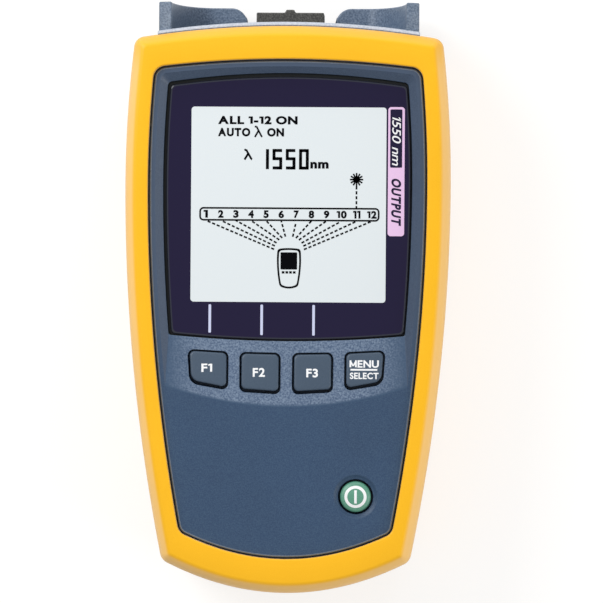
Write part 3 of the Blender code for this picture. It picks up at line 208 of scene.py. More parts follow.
def plate(outline, low, high):
    # A convex outline as a thin plate, its top and bottom fanned out from the first point
    count = len(outline)
    points = np.concatenate([atHeight(outline, low), atHeight(outline, high)])
    n = np.arange(1, count - 1)
    fan = np.column_stack([np.zeros_like(n), n + 1, n])
    i = np.arange(count)
    j = (i + 1) % count
    walls = np.concatenate([np.column_stack([i, j, j + count]), np.column_stack([i, j + count, i + count])])
    return points, np.concatenate([fan, fan[:, ::-1] + count, walls])


def frameOf(outer, inner, low, high):
    # The band between two outlines with as many points each, as a thin plate with a hole
    levels = [(outer, low), (outer, high), (inner, high), (inner, low)]
    grid = np.stack([atHeight(outline, z) for outline, z in levels])
    quads = gridFaces(4, len(outer), loop=True)
    return grid.reshape(-1, 3), np.concatenate([quads[:, :3], quads[:, [0, 2, 3]]])


def roundedQuad(corners, radii, steps=6):
    # A convex four-sided outline with round corners. An arc's centre lies radius / sin(half angle) from its
    # corner, on the line that halves the angle
    corners = np.asarray(corners, float)
    radii = np.broadcast_to(np.asarray(radii, float), (4,))[:, None]
    before = np.roll(corners, 1, 0) - corners
    after = np.roll(corners, -1, 0) - corners
    before /= np.linalg.norm(before, axis=1, keepdims=True)
    after /= np.linalg.norm(after, axis=1, keepdims=True)
    half = np.arccos((before * after).sum(1, keepdims=True)) / 2
    middle = (before + after) / np.linalg.norm(before + after, axis=1, keepdims=True)
    centre = corners + middle * radii / np.sin(half)
    first = corners + before * radii / np.tan(half) - centre
    last = corners + after * radii / np.tan(half) - centre
    share = np.linspace(0, 1, steps)[None, :, None]
    arc = first[:, None] * (1 - share) + last[:, None] * share
    arc *= radii[:, None] / np.linalg.norm(arc, axis=2, keepdims=True)
    return (centre[:, None] + arc).reshape(-1, 2)


def rectangle(left, right, low, high, radius=0.0, steps=6):
    # Its corners are sharp when the radius is 0
    corners = [(left, low), (right, low), (right, high), (left, high)]
    return roundedQuad(corners, radius, steps) if radius else np.array(corners, float)


def circlePoints(x, y, radius, count=64):
    # Points round a circle, the first one to its right
    angle = np.linspace(0, 2 * np.pi, count, endpoint=False)
    return np.column_stack([x + radius * np.cos(angle), y + radius * np.sin(angle)])


# Letters are measured in units of the font's size. The font's 1 has no flag and its M fills up when it is
# bold, so both are drawn here, and its 9 is an upturned 6.
capital, letterSpace, wordSpace, letterDepth = 0.7, 0.075, 0.26, 0.1
drawnOne = {"flag": 0.13, "flagLow": 0.2, "flagRoot": 0.09, "flagTop": 0.8, "stroke": 0.09}
drawnM = {"width": 0.66, "dip": 0.12, "stroke": 0.10, "slant": 0.8, "inward": 0.45, "down": 0.4}
knownGlyphs = {}


def oneGlyph(weight, values):
    # An upright bar with a flag that slopes down to the left from its top
    flag, stroke = values["flag"], values["stroke"] + 2 * weight
    low, middle = capital - values["flagLow"], flag + stroke / 2
    slope = np.array([(0, low), (middle, capital - values["flagRoot"]), (middle, capital),
                      (flag * values["flagTop"], capital), (0, low + stroke)])
    upright = rectangle(flag, flag + stroke, 0, capital)
    return gather([plate(slope, -letterDepth, letterDepth), plate(upright, -letterDepth, letterDepth)])


def mGlyph(weight, values):
    # Two uprights, and two thinner bars that meet between them
    wide, stroke = values["width"], values["stroke"] + 2 * weight
    left, right, middle = stroke / 2, wide - stroke / 2, (wide / 2, values["dip"])
    inward, high = stroke * values["inward"], capital - stroke * values["down"]
    starts = [(left, 0), (right, 0), (inward, high), (wide - inward, high)]
    widths = [stroke, stroke, stroke * values["slant"], stroke * values["slant"]]
    ends = [(left, capital), (right, capital), middle, middle]
    return bars(starts, ends, widths, -letterDepth, letterDepth)


def glyph(character, weight):
    # One letter as a plate that starts at x = 0; weight makes its strokes bolder
    if character == "1":
        return oneGlyph(weight, drawnOne)
    if character == "M":
        return mGlyph(weight, drawnM)
    if character == "9":
        points, triangles = glyph("6", weight)
        return points * [-1, -1, 1] + [points[:, 0].max(), capital, 0], triangles
    if (character, weight) not in knownGlyphs:
        curve = bpy.data.curves.new("letter", "FONT")
        curve.body = character
        curve.offset = weight
        curve.extrude = letterDepth
        curve.resolution_u = 6
        letter = newObject("letter", curve)
        mesh = bpy.data.meshes.new_from_object(letter.evaluated_get(bpy.context.evaluated_depsgraph_get()))
        mesh.calc_loop_triangles()
        points = np.empty(len(mesh.vertices) * 3)
        mesh.vertices.foreach_get("co", points)
        points = points.reshape(-1, 3)
        triangles = np.empty(len(mesh.loop_triangles) * 3, int)
        mesh.loop_triangles.foreach_get("vertices", triangles)
        bpy.data.objects.remove(letter)
        knownGlyphs[character, weight] = (points - [points[:, 0].min(), 0, 0], triangles.reshape(-1, 3))
    return knownGlyphs[character, weight]


def lettering(words, left, right, low, high, bottom, top, weight=0.0, slant=0.0, turned=False):
    # Words set letter by letter and stretched to a box. slant leans them and turned runs them down the page
    plates, pen = [], 0.0
    for character in words:
        if character == " ":
            pen += wordSpace
            continue
        points, triangles = glyph(character, weight)
        plates.append((points + [pen, 0, 0], triangles))
        pen += points[:, 0].max() + letterSpace
    points, triangles = gather(plates)
    points[:, 0] += slant * points[:, 1]
    share = (points - points.min(0)) / (points.max(0) - points.min(0))
    if turned:
        share = np.column_stack([share[:, 1], 1 - share[:, 0], share[:, 2]])
    size = np.array([right - left, high - low, top - bottom])
    return share * size + [left, low, bottom], triangles


def addPrint(name, plates, material, body="instrument"):
    # Several plates as one piece
    points, triangles = gather(plates)
    addPiece(name, makeMesh(name, points, triangles.tolist(), sharpAngle=20.0), [material], body)


# The outline that most pieces share

widestY = 30.0
holsterLow, holsterHigh = boxOf("holster")
holsterShape = {
    "half": holsterHigh[0], "top": holsterHigh[1], "bottom": holsterLow[1],  # where each side ends
    "topBow": 240.0, "bottomBow": 63.0, "lowBow": 486.0, "highBow": 312.0,  # radii of the bulged sides
    "topCorner": 3.0, "bottomCorner": 3.4,
}
openingShape = dict(
    holsterShape,
    half=holsterShape["half"] - 6.2, top=holsterShape["top"] - 9.0, bottom=holsterShape["bottom"] + 9.2,
    topBow=270.0, bottomBow=57.0, topCorner=3.4, bottomCorner=3.4,
)
outlineSteps = {"end": 26, "corner": 10, "side": 56, "below": 12}
leastCorner = 1.2


def insetShape(shape, distance):
    # The same outline a distance further in
    inner = {key: value - distance for key, value in shape.items()}
    inner["bottom"] = shape["bottom"] + distance
    for corner in ("topCorner", "bottomCorner"):
        inner[corner] = max(inner[corner], leastCorner)
    return inner


def sideX(shape, y):
    # x = half - (y - widestY)^2 / (2 bow)
    bow = np.where(np.asarray(y) > widestY, shape["highBow"], shape["lowBow"])
    return shape["half"] - (y - widestY) ** 2 / (2 * bow)


def endY(shape, end, x):
    # y = top - x^2 / (2 bow), or bottom + x^2 / (2 bow)
    return shape[end] - {"top": 1, "bottom": -1}[end] * x ** 2 / (2 * shape[end + "Bow"])


def cornerOf(shape, end):
    # The arc that touches the side and an end. Its centre is found by going to and fro between the two
    sign, radius = {"top": 1, "bottom": -1}[end], shape[end + "Corner"]
    x, y = shape["half"], shape[end]
    for step in range(40):
        sideBow = shape["highBow"] if y > widestY else shape["lowBow"]
        sideAngle = math.atan2((y - widestY) / sideBow, 1)
        endAngle = math.atan2(sign, x / shape[end + "Bow"])
        centreX = float(sideX(shape, y)) - radius * math.cos(sideAngle)
        centreY = endY(shape, end, x) - radius * math.sin(endAngle)
        x = centreX + radius * math.cos(endAngle)
        y = centreY + radius * math.sin(sideAngle)
    angle = np.linspace(endAngle, sideAngle, outlineSteps["corner"])
    arc = np.column_stack([centreX + radius * np.cos(angle), centreY + radius * np.sin(angle)])
    return arc, x, y


def outlinePoints(shape, splitY=None):
    # The closed outline from the middle of the top edge, down the right side and up the left one. With a
    # split height, some of the bottom edge's points go to the side below it, to match a shorter outline's
    topArc, topX, highY = cornerOf(shape, "top")
    lowArc, lowX, lowY = cornerOf(shape, "bottom")
    topEdge = np.linspace(0, topX, outlineSteps["end"], endpoint=False)
    side = np.linspace(highY, lowY if splitY is None else splitY, outlineSteps["side"])[1:-1]
    endCount = outlineSteps["end"]
    if splitY is not None:
        side = np.concatenate([side, np.linspace(splitY, lowY, outlineSteps["below"])[:-1]])
        endCount -= outlineSteps["below"] - 1
    lowEdge = np.linspace(lowX, 0, endCount)[1:]
    right = np.concatenate([
        np.column_stack([topEdge, endY(shape, "top", topEdge)]), topArc,
        np.column_stack([sideX(shape, side), side]), lowArc[::-1],
        np.column_stack([lowEdge, endY(shape, "bottom", lowEdge)]),
    ])
    return np.concatenate([right, right[-2:0:-1] * [-1, 1]])


def ringsOf(levels, splitY=None):
    # One ring for each pair of an outline and a height
    return np.stack([atHeight(outlinePoints(shape, splitY), z) for shape, z in levels])


def quarterRound(steps):
    # Pairs (across, up) of a quarter circle, from the foot (0, 0) to the top (1, 1)
    angle = np.linspace(0, np.pi / 2, steps)
    return list(zip(1 - np.cos(angle), np.sin(angle)))


def roundedEdge(shape, z, inward, fall, steps):
    # Levels of a rounded edge, from the outline a fall under z to the outline further in at z
    return [(insetShape(shape, across * inward), z - (1 - up) * fall) for across, up in quarterRound(steps)]


# Finishes


def linear(colour):
    # Screen values, 0 to 255, as linear light
    share = np.array(colour, float) / 255
    return tuple(np.where(share <= 0.04045, share / 12.92, ((share + 0.055) / 1.055) ** 2.4)) + (1.0,)


def setInputs(tree, node, inputs):
    # Each input becomes a value, or is linked to the output of another node
    for key, value in inputs.items():
        if isinstance(value, bpy.types.NodeSocket):
            tree.links.new(value, node.inputs[key])
        else:
            node.inputs[key].default_value = value


def addNode(tree, kind, inputs, **settings):
    # A new node with its settings and its inputs
    node = tree.nodes.new(kind)
    for key, value in settings.items():
        setattr(node, key, value)
    setInputs(tree, node, inputs)
    return node


def newMaterial(name):
    # A material, its nodes and its shader
    material = bpy.data.materials.new(name)
    material.use_nodes = True
    return material, material.node_tree, material.node_tree.nodes["Principled BSDF"]


def calculate(tree, operation, *values):
    # The result of one math node
    inputs = dict(enumerate(values))
    return addNode(tree, "ShaderNodeMath", inputs, operation=operation).outputs[0]


def softShare(tree, value, start, stop, least=0.0):
    # A share that rises smoothly from the least at start to 1 at stop, both in millimetres
    limits = {"Value": value, "From Min": start * millimetre, "From Max": stop * millimetre, "To Min": least}
    return addNode(tree, "ShaderNodeMapRange", limits, interpolation_type="SMOOTHSTEP").outputs[0]


def evenShare(tree, value, start, stop, first=0.0, last=1.0):
    # A straight rise from first at start to last at stop
    limits = {"Value": value, "From Min": start, "From Max": stop, "To Min": first, "To Max": last}
    return addNode(tree, "ShaderNodeMapRange", limits).outputs[0]


def noise(tree, place, scale, detail, roughness):
    # Noise of a number of grains per metre
    inputs = {"Vector": place, "Scale": scale, "Detail": detail, "Roughness": roughness}
    return addNode(tree, "ShaderNodeTexNoise", inputs).outputs[0]


def mixColours(tree, share, first, second):
    # The first colour where the share is 0, the second where it is 1
    mix = {"Factor": share, "A": first, "B": second}
    return addNode(tree, "ShaderNodeMix", mix, data_type="RGBA").outputs["Result"]


def paleBand(tree, place, colour, band):
    # Mixes in a paler colour between two heights: the share rises to 1 below the upper one and falls again.
    # It also falls towards the far end
    axes = addNode(tree, "ShaderNodeSeparateXYZ", {"Vector": place}).outputs
    far = softShare(tree, axes["Y"], band["farY"], band["nearY"], band["farShare"])
    upper = softShare(tree, axes["Z"], band["high"], band["full"])
    lower = softShare(tree, axes["Z"], band["low"], band["lowFull"])
    share = calculate(tree, "MULTIPLY", calculate(tree, "MULTIPLY", upper, lower), far)
    return mixColours(tree, share, colour, linear(band["colour"]))


def fadeOut(tree, place, colour, fade):
    # Mixes towards a second colour near the ramp's ends and above its lower arc. The share of the first
    # colour is the product of a fall over |x| and a rise over y - low - x^2 / (2 bow)
    axes = addNode(tree, "ShaderNodeSeparateXYZ", {"Vector": place}).outputs
    ends = softShare(tree, calculate(tree, "ABSOLUTE", axes["X"]), fade["outer"], fade["inner"])
    square = calculate(tree, "MULTIPLY", axes["X"], axes["X"])
    arc = calculate(tree, "MULTIPLY_ADD", square, -0.5 / (fade["bow"] * millimetre), axes["Y"])
    foot = softShare(tree, arc, fade["low"], fade["low"] + fade["soft"])
    return mixColours(tree, calculate(tree, "MULTIPLY", ends, foot), linear(fade["colour"]), colour)


# Noise values lie near 0.5. Grain turns pale between two of them, and clouds act between two others.
texture = {
    "fineDetail": 3.0, "fineRoughness": 0.6, "paleFrom": 0.375, "paleTo": 0.7,
    "cloudScale": 45.0, "cloudDetail": 4.0, "cloudRoughness": 0.55, "cloudFrom": 0.3, "cloudTo": 0.7,
    "glossier": 0.04, "duller": 0.05, "sheenRoughness": 0.35,
}


def grained(name, colour, pale, roughness, grain, depth, cloud=0.06, specular=0.5, sheen=0.0,
            sheenTint=(255, 255, 255), band=None, fade=None):
    # A moulded finish: fine grain moves the height and mixes the colour with a paler one, and wide
    # clouds change its lightness and roughness a little. grain is the size of a grain in millimetres
    material, tree, shader = newMaterial(name)
    place = addNode(tree, "ShaderNodeTexCoord", {}).outputs["Object"]
    fine = noise(tree, place, 1 / (grain * millimetre), texture["fineDetail"], texture["fineRoughness"])
    wide = noise(tree, place, texture["cloudScale"], texture["cloudDetail"], texture["cloudRoughness"])
    spots = evenShare(tree, fine, texture["paleFrom"], texture["paleTo"])
    mixed = mixColours(tree, spots, linear(colour), linear(pale))
    if band:
        mixed = paleBand(tree, place, mixed, band)
    if fade:
        mixed = fadeOut(tree, place, mixed, fade)
    limits = texture["cloudFrom"], texture["cloudTo"]
    lightness = evenShare(tree, wide, *limits, 1 - cloud, 1 + cloud)
    gloss = evenShare(tree, wide, *limits, roughness - texture["glossier"], roughness + texture["duller"])
    shade = addNode(tree, "ShaderNodeHueSaturation", {"Color": mixed, "Value": lightness})
    bump = addNode(tree, "ShaderNodeBump", {"Height": fine, "Strength": 1.0, "Distance": depth * millimetre})
    setInputs(tree, shader, {
        "Base Color": shade.outputs[0], "Roughness": gloss, "Normal": bump.outputs[0],
        "Specular IOR Level": specular, "Sheen Weight": sheen, "Sheen Roughness": texture["sheenRoughness"],
        "Sheen Tint": linear(sheenTint),
    })
    return material


def plain(name, colour, roughness, metallic=0.0, specular=0.5):
    # An even finish of one colour
    material, tree, shader = newMaterial(name)
    setInputs(tree, shader, {"Base Color": linear(colour), "Roughness": roughness, "Metallic": metallic,
                             "Specular IOR Level": specular})
    return material


# The soft rubber's rolled front edge is coloured paler than the rest: a painted sheen on top of the shader's
# own sheen, weaker towards the top end.
paintedSheenBand = {"high": 39.9, "full": 39.15, "low": 31.0, "lowFull": 35.5, "colour": (255, 204, 118),
              "farY": 68.5, "nearY": 58.0, "farShare": 0.2}
yellowRubber = grained("yellowRubber", (252, 186, 14), (255, 192, 24), 0.45, grain=0.22, depth=0.006,
                       cloud=0.02, specular=0.35, sheen=0.35, sheenTint=(255, 226, 200), band=paintedSheenBand)
# The slate is darker and bluer below the keys, at every height.
slateBand = {"high": 100.0, "full": 90.0, "low": -10.0, "lowFull": -5.0, "colour": (60, 77, 101),
             "farY": -32.0, "nearY": 12.0, "farShare": 0.0}
slatePlastic = grained("slatePlastic", (33, 59, 90), (53, 79, 106), 0.44, grain=0.30, depth=0.012, cloud=0.05,
                       specular=0.45, band=slateBand)
# The face's rounded rim: a paler colour as a painted highlight, besides its real gloss.
paintedRimHighlight = grained("paintedRimHighlight", (82, 99, 122), (106, 121, 142), 0.28, grain=0.30, depth=0.01, cloud=0.05,
                     specular=1.0)
bezelPlastic = grained("bezelPlastic", (46, 63, 87), (64, 82, 105), 0.44, grain=0.30, depth=0.012, cloud=0.05,
                       specular=0.45)
# The lens pocket's walls and floor: near black as painted shade.
pocketPaintedShade = plain("pocketPaintedShade", (20, 25, 28), 0.5, specular=0.3)
# The neck's rounded front edge: a pale colour as a painted highlight.
neckPaintedHighlight = grained("neckPaintedHighlight", (176, 184, 198), (206, 211, 220), 0.30, grain=0.50, depth=0.01, cloud=0.05)
# The ramp under the display is paler than the face: partly its coarser grain, partly painted light, as its
# slope faces the lamps. The paler colour fades out towards the ramp's ends and its lower arc.
rampFade = {"outer": 35.0, "inner": 21.0, "low": -28.85, "soft": 1.0, "bow": 96.0, "colour": (56, 79, 106)}
rampPlastic = grained("rampPlastic", (73, 92, 119), (128, 145, 167), 0.50, grain=0.45, depth=0.035,
                      cloud=0.05, specular=0.3, fade=rampFade)
guardPlastic = grained("guardPlastic", (66, 86, 111), (118, 134, 154), 0.42, grain=0.50, depth=0.03,
                       specular=0.7)
keyRubber = grained("keyRubber", (55, 72, 91), (66, 83, 101), 0.45, grain=0.20, depth=0.004, cloud=0.03,
                    specular=0.45)
greenRubber = grained("greenRubber", (66, 132, 108), (88, 151, 127), 0.42, grain=0.20, depth=0.004,
                      cloud=0.03, specular=0.8)
capPlastic = grained("capPlastic", (36, 35, 33), (98, 96, 91), 0.5, grain=0.35, depth=0.02, cloud=0.10)
lensNavy = plain("lensNavy", (27, 21, 54), 0.10, specular=0.15)
lensEdge = plain("lensEdge", (34, 37, 52), 0.12, specular=0.35)
lcdGrey = plain("lcdGrey", (226, 233, 236), 0.16, specular=0.3)
segmentBlack = plain("segmentBlack", (6, 6, 10), 0.3, specular=0.03)
legendWhite = plain("legendWhite", (246, 247, 248), 0.5)
linePale = plain("linePale", (205, 210, 238), 0.3, specular=0.3)
labelPink = plain("labelPink", (236, 200, 236), 0.3, specular=0.3)
portBlack = plain("portBlack", (16, 16, 18), 0.45)
hiddenSteel = plain("hiddenSteel", (170, 172, 176), 0.3, metallic=1.0)
hiddenBoard = plain("hiddenBoard", (26, 88, 56), 0.4)
hiddenPale = plain("hiddenPale", (222, 222, 216), 0.5)
hiddenCell = plain("hiddenCell", (200, 160, 70), 0.35, metallic=0.4)
hiddenFibre = plain("hiddenFibre", (90, 190, 205), 0.45)
print("finishes made")

# Every solid of the frame gets the finish of its slot. Most of them are covered by a piece made below.
slotFinish = {
    "holster_rubber": yellowRubber, "slate_plastic": slatePlastic, "key_rubber": keyRubber,
    "power_key": greenRubber, "display_window": lensNavy, "lcd": lcdGrey, "light_plastic": hiddenPale,
    "black_plastic": portBlack, "black_rubber": portBlack, "board": hiddenBoard, "steel": hiddenSteel,
    "cell_jacket": hiddenCell, "fibre_jacket": hiddenFibre,
}
for subpart in frame["record"]["subparts"]:
    solid = frame["nodes"][subpart["node"]]
    solid.data.materials.clear()
    solid.data.materials.append(slotFinish[subpart["material_slot"]])

# Holster, and the neck's measures for the window in it

neck = {
    "half": 34.6, "top": 72.8, "low": 4.2, "high": 35.4,
    "gap": 0.3,  # round it in the holster's window
    "depth": 6.0, "round": 0.9, "edge": 0.25, "rings": 49,
    "litSlope": 0.1,  # a face gets the painted highlight when its normal's y and z are both over this
    "portHalf": 9.0, "portHalfHeight": 5.0, "portZ": 17.0,
    "portIn": 60.0, "portOut": 80.0,  # where the tool that cuts the port begins and ends
}
holster = {
    "wall": 2.9, "floor": 2.2, "lip": 2.9,  # thickness round the case, behind it and over its front
    # the soft front edge, as pairs (distance in from the side, depth under the front)
    "shoulder": [(3.2, 0.0), (2.95, 0.05), (2.6, 0.2), (2.2, 0.5), (1.75, 0.95), (1.3, 1.55), (0.85, 2.3),
                 (0.5, 3.1), (0.2, 4.1), (0.05, 5.3), (0.0, 6.6)],
    "openingRound": 0.45, "backRound": 4.0, "backDraft": 0.9, "innerRound": 3.0,
    "wallShares": (0.7, 0.5, 0.3),  # heights of the rings down the plain wall
    "windowReach": 5.0, "sharpAngle": 40.0,
}


def makeHolster(values):
    # A cup as one loft: the inside from the floor up, out through the opening, and down the outside
    height = holsterHigh[2]
    cavity = insetShape(holsterShape, values["wall"])
    underLip = height - values["lip"]
    inner = values["innerRound"]
    levels = roundedEdge(cavity, values["floor"], inner, -inner, 5)[::-1]
    levels += roundedEdge(cavity, underLip, inner, inner, 5)
    levels += [(openingShape, underLip)]
    levels += roundedEdge(openingShape, height, -values["openingRound"], values["openingRound"], 6)
    levels += [(insetShape(holsterShape, inward), height - drop) for inward, drop in values["shoulder"]]
    levels += [(holsterShape, height * share) for share in values["wallShares"]]
    back = insetShape(holsterShape, values["backDraft"])
    levels += roundedEdge(back, 0, values["backRound"], -values["backRound"], 9)
    return gridMesh("holster_boot", ringsOf(levels), splitBent=True)


holsterPiece = addPiece("holster_boot", makeHolster(holster), [yellowRubber],
                        replaced=["holster"])
window = rectangle(-neck["half"] - neck["gap"], neck["half"] + neck["gap"], openingShape["top"],
                   holsterHigh[1] + holster["windowReach"])
window = prismMesh("neck_window", window, neck["low"] - neck["gap"], neck["high"] + neck["gap"])
cutOut(holsterPiece, [window])
holsterPiece.data.set_sharp_from_angle(angle=math.radians(holster["sharpAngle"]))
print("holster made")

# Front case

case = {
    "gap": 0.3,  # to the holster's inside
    "rimZ": 24.5, "shoulderZ": 36.8, "shoulderRound": 3.0,
    "faceGap": 0.45, "faceRound": 0.5, "rimRings": 5,  # the face stands in the opening of the holster
    "crest": 1.5, "bezel": 3.55, "bezelTop": 3.25,  # the bezel slopes from its crest down to the floor
    "floorDrop": 1.7, "pocketDrop": 3.2,
    "footTopBow": 200.0, "rampFootBow": 320.0, "rampTopBow": 96.0,  # the recess's upper and lower arcs
    "rampFootY": -11.45, "rampTopY": -28.85, "corner": 0.7, "footCorner": 1.2, "crestCorner": 2.0,
    "splitY": -22.6,  # where the recess's lower corner meets the face
    "rampColumns": 7,  # how many points before the outline's lower edge the ramp begins
    "pocketDraft": 0.02, "edge": 0.12,
}
faceZ = 38.6
floorZ = faceZ - case["floorDrop"]


def recessShape(face, values, share):
    # The recess's outline between its foot (share 0) and the face (share 1). Its sides and top lie on the
    # bezel's slope and its lower edge on the ramp, so each of its measures changes evenly with the share
    shape = insetShape(face, values["bezel"] + share * (values["crest"] - values["bezel"]))
    shape["top"] = face["top"] - values["bezelTop"] - share * (values["crest"] - values["bezelTop"])
    shape["topBow"] = 1 / ((1 - share) / values["footTopBow"] + share / face["topBow"])
    shape["bottom"] = values["rampFootY"] + share * (values["rampTopY"] - values["rampFootY"])
    shape["bottomBow"] = 1 / ((1 - share) / values["rampFootBow"] + share / values["rampTopBow"])
    shape["bottomCorner"] = values["corner"]
    shape["topCorner"] = values["footCorner"] + share * (values["crestCorner"] - values["footCorner"])
    return shape


def rampZ(y):
    # The ramp rises evenly from the display's floor to the face
    share = (case["rampFootY"] - y) / (case["rampFootY"] - case["rampTopY"])
    return floorZ + np.clip(share, 0, 1) * case["floorDrop"]


def makeFrontCase(values):
    # One loft: up the outside, over the rim of the face, down the bezel, and on to the floor under the lens
    outer = insetShape(holsterShape, holster["wall"] + values["gap"])
    face = insetShape(openingShape, values["faceGap"])
    levels = [(outer, values["rimZ"])]
    levels += roundedEdge(outer, values["shoulderZ"], values["shoulderRound"], values["shoulderRound"], 6)
    levels += [(face, values["shoulderZ"])]
    levels += roundedEdge(face, faceZ, values["faceRound"], values["faceRound"], 7)
    recess = [(recessShape(face, values, share), floorZ + share * values["floorDrop"])
              for share in np.linspace(1, 0, 7)]
    foot = recessShape(face, values, 0.0)
    recess += [(insetShape(foot, values["pocketDraft"]), faceZ - values["pocketDrop"])]
    grid = np.concatenate([ringsOf(levels, values["splitY"]), ringsOf(recess)])
    mesh = gridMesh("case_front", grid)
    # The bezel and the ramp lie between the recess's rings, the ramp between their lower corners. Under them
    # comes the pocket that holds the lens, near black as painted shade. The face's rounded rim is a little
    # paler as a painted highlight
    face, ramp, bezel, pocket, rim = range(5)
    count = grid.shape[1]
    lowEdge = outlineSteps["end"] + 2 * outlineSteps["corner"] + outlineSteps["side"] - 2
    first = lowEdge - values["rampColumns"]
    ring, column = np.divmod(np.arange((len(grid) - 1) * count), count)
    onRamp = (column >= first) & (column < count - first)
    onRim = (ring >= len(levels) - values["rimRings"]) & (ring < len(levels) - 1)
    inside = np.where(ring == len(grid) - 2, pocket, np.where(onRamp, ramp, bezel))
    index = np.full(len(mesh.polygons), face)
    index[:len(ring)] = np.where(ring < len(levels), np.where(onRim, rim, face), inside)
    index[-1] = pocket
    mesh.polygons.foreach_set("material_index", index)
    return mesh


casePiece = addPiece("case_front", makeFrontCase(case),
                     [slatePlastic, rampPlastic, bezelPlastic, pocketPaintedShade, paintedRimHighlight],
                     replaced=["front_case"])

# Keys

keys = {
    "names": ["key_f1", "key_f2", "key_f3", "key_menu"],
    "bodies": ["f1", "f2", "f3", "menu"],
    "width": 9.75, "side": 0.5, "above": 0.42, "below": 0.85,  # width of a key, and the gaps round it
    "topY": -14.6, "bottomY": -25.5, "topBow": 387.0, "bottomBow": 118.0,  # the row's two arcs, at the holes
    "lean": 0.55,  # the outer sides of the outer keys lean in at the bottom
    "corner": 1.2, "lowCorner": 2.5, "holeCorner": 0.35,  # the hole's corners are wider by this much
    "round": 0.5, "crown": 0.12, "proud": 0.8, "bottomZ": 34.6,
    "room": 1.5,  # depth of a hole under its key
    "over": 1.0,  # how far the tools that cut the holes stand out of the face
}


def isOuter(index, values):
    # Whether the key's lower left and lower right corners are the row's outer ones
    return np.array([index == 0, index == len(values["names"]) - 1])


def keyQuad(index, values, grow):
    # The hole of one key (grow 0) or the key itself, as four corners from the lower left
    low, high = boxOf(values["names"][index])
    centre = (low[0] + high[0]) / 2
    half = values["width"] / 2 + values["side"]
    lean = values["lean"] * (isOuter(index, values) * [1, -1])
    x = np.array([centre - half + lean[0], centre + half + lean[1], centre + half, centre - half])
    y = np.where([True, True, False, False], values["bottomY"] + x ** 2 / (2 * values["bottomBow"]),
                 values["topY"] + x ** 2 / (2 * values["topBow"]))
    x += np.array([1, -1, -1, 1]) * values["side"] * grow
    y += np.array([values["below"], values["below"], -values["above"], -values["above"]]) * grow
    return np.column_stack([x, y])


def keyCorners(index, values):
    # The outer keys have a wider lower corner on their outer side
    radii = np.full(4, values["corner"])
    radii[:2][isOuter(index, values)] = values["lowCorner"]
    return radii


def keyTopZ(index, values, x, y):
    # Top of a key: the ramp's slope plus a shallow crown, crown (1 - u^2)(1 - v^2) over its width and length
    quad = keyQuad(index, values, 1)
    middle, half = quad.mean(0), np.ptp(quad, 0) / 2
    u, v = (x - middle[0]) / half[0], (y - middle[1]) / half[1]
    crown = values["crown"] * np.clip(1 - u ** 2, 0, 1) * np.clip(1 - v ** 2, 0, 1)
    return rampZ(y) + values["proud"] + crown


def makeKey(index, values):
    # Rings round the key's middle: up its side, over its rounded edge and across its top
    quad = keyQuad(index, values, 1)
    outline = roundedQuad(quad, keyCorners(index, values), 8)
    middle, half = quad.mean(0), np.ptp(quad, 0).min() / 2
    rings = [atHeight(outline, values["bottomZ"])]
    for across, up in quarterRound(6):
        edge = middle + (outline - middle) * (1 - across * values["round"] / half)
        top = keyTopZ(index, values, edge[:, 0], edge[:, 1])
        rings.append(np.column_stack([edge, top - (1 - up) * values["round"]]))
    for share in np.linspace(0.85, 0.05, 9):
        edge = middle + (outline - middle) * share * (1 - values["round"] / half)
        rings.append(np.column_stack([edge, keyTopZ(index, values, edge[:, 0], edge[:, 1])]))
    return gridMesh(values["names"][index] + "_cap", np.stack(rings))


holes = []
holeLow, holeHigh = keys["bottomZ"] - keys["room"], faceZ + keys["over"]
for index, name in enumerate(keys["names"]):
    addPiece(name + "_cap", makeKey(index, keys), [keyRubber], keys["bodies"][index], [name])
    hole = roundedQuad(keyQuad(index, keys, 0), keyCorners(index, keys) + keys["holeCorner"], 8)
    holes.append(prismMesh(name + "_hole", hole, holeLow, holeHigh))
print("keys made")

# Power key

power = {
    "x": 18.45, "y": -52.25, "radius": 4.04, "hole": 4.6, "around": 72,
    # the dish round the key, as pairs (radius, depth under the face)
    "dish": [(4.3, 0.8), (4.75, 0.73), (5.2, 0.58), (5.55, 0.34), (5.9, 0.0), (6.4, -0.6)],
    "round": 0.55, "crown": 0.9, "domeRadii": (2.6, 2.0, 1.4, 0.8, 0.2),
    "ring": 2.92, "ringWidth": 0.76, "bar": 3.5, "barWidth": 0.68, "print": 0.03,
}


def turned(name, profile):
    # A profile of (radius, height) pairs turned round the power key's upright axis
    circles = [circlePoints(power["x"], power["y"], radius, power["around"]) for radius, z in profile]
    return gridMesh(name, np.stack([atHeight(circle, z) for circle, (radius, z) in zip(circles, profile)]))


def powerTopZ(radius):
    # Shallow dome: crown (1 - (r / radius)^2)
    return faceZ + power["crown"] * (1 - (radius / power["radius"]) ** 2)


profile = [(power["radius"], keys["bottomZ"])]
for across, up in quarterRound(7):
    edge = power["radius"] - across * power["round"]
    profile.append((edge, powerTopZ(edge) - (1 - up) * power["round"]))
profile += [(radius, powerTopZ(radius)) for radius in power["domeRadii"]]
addPiece("power_cap", turned("power_cap", profile), [greenRubber], "power", ["power_key"])
dish = [(radius, faceZ - depth) for radius, depth in power["dish"]]
hole = [(power["hole"], holeLow), (power["hole"], holeHigh)]
holes += [turned("power_dish", dish), turned("power_hole", hole)]
cutOut(casePiece, holes)
softEdges(casePiece, case["edge"], segments=2, angle=45)
print("front case made")

# Lens and display

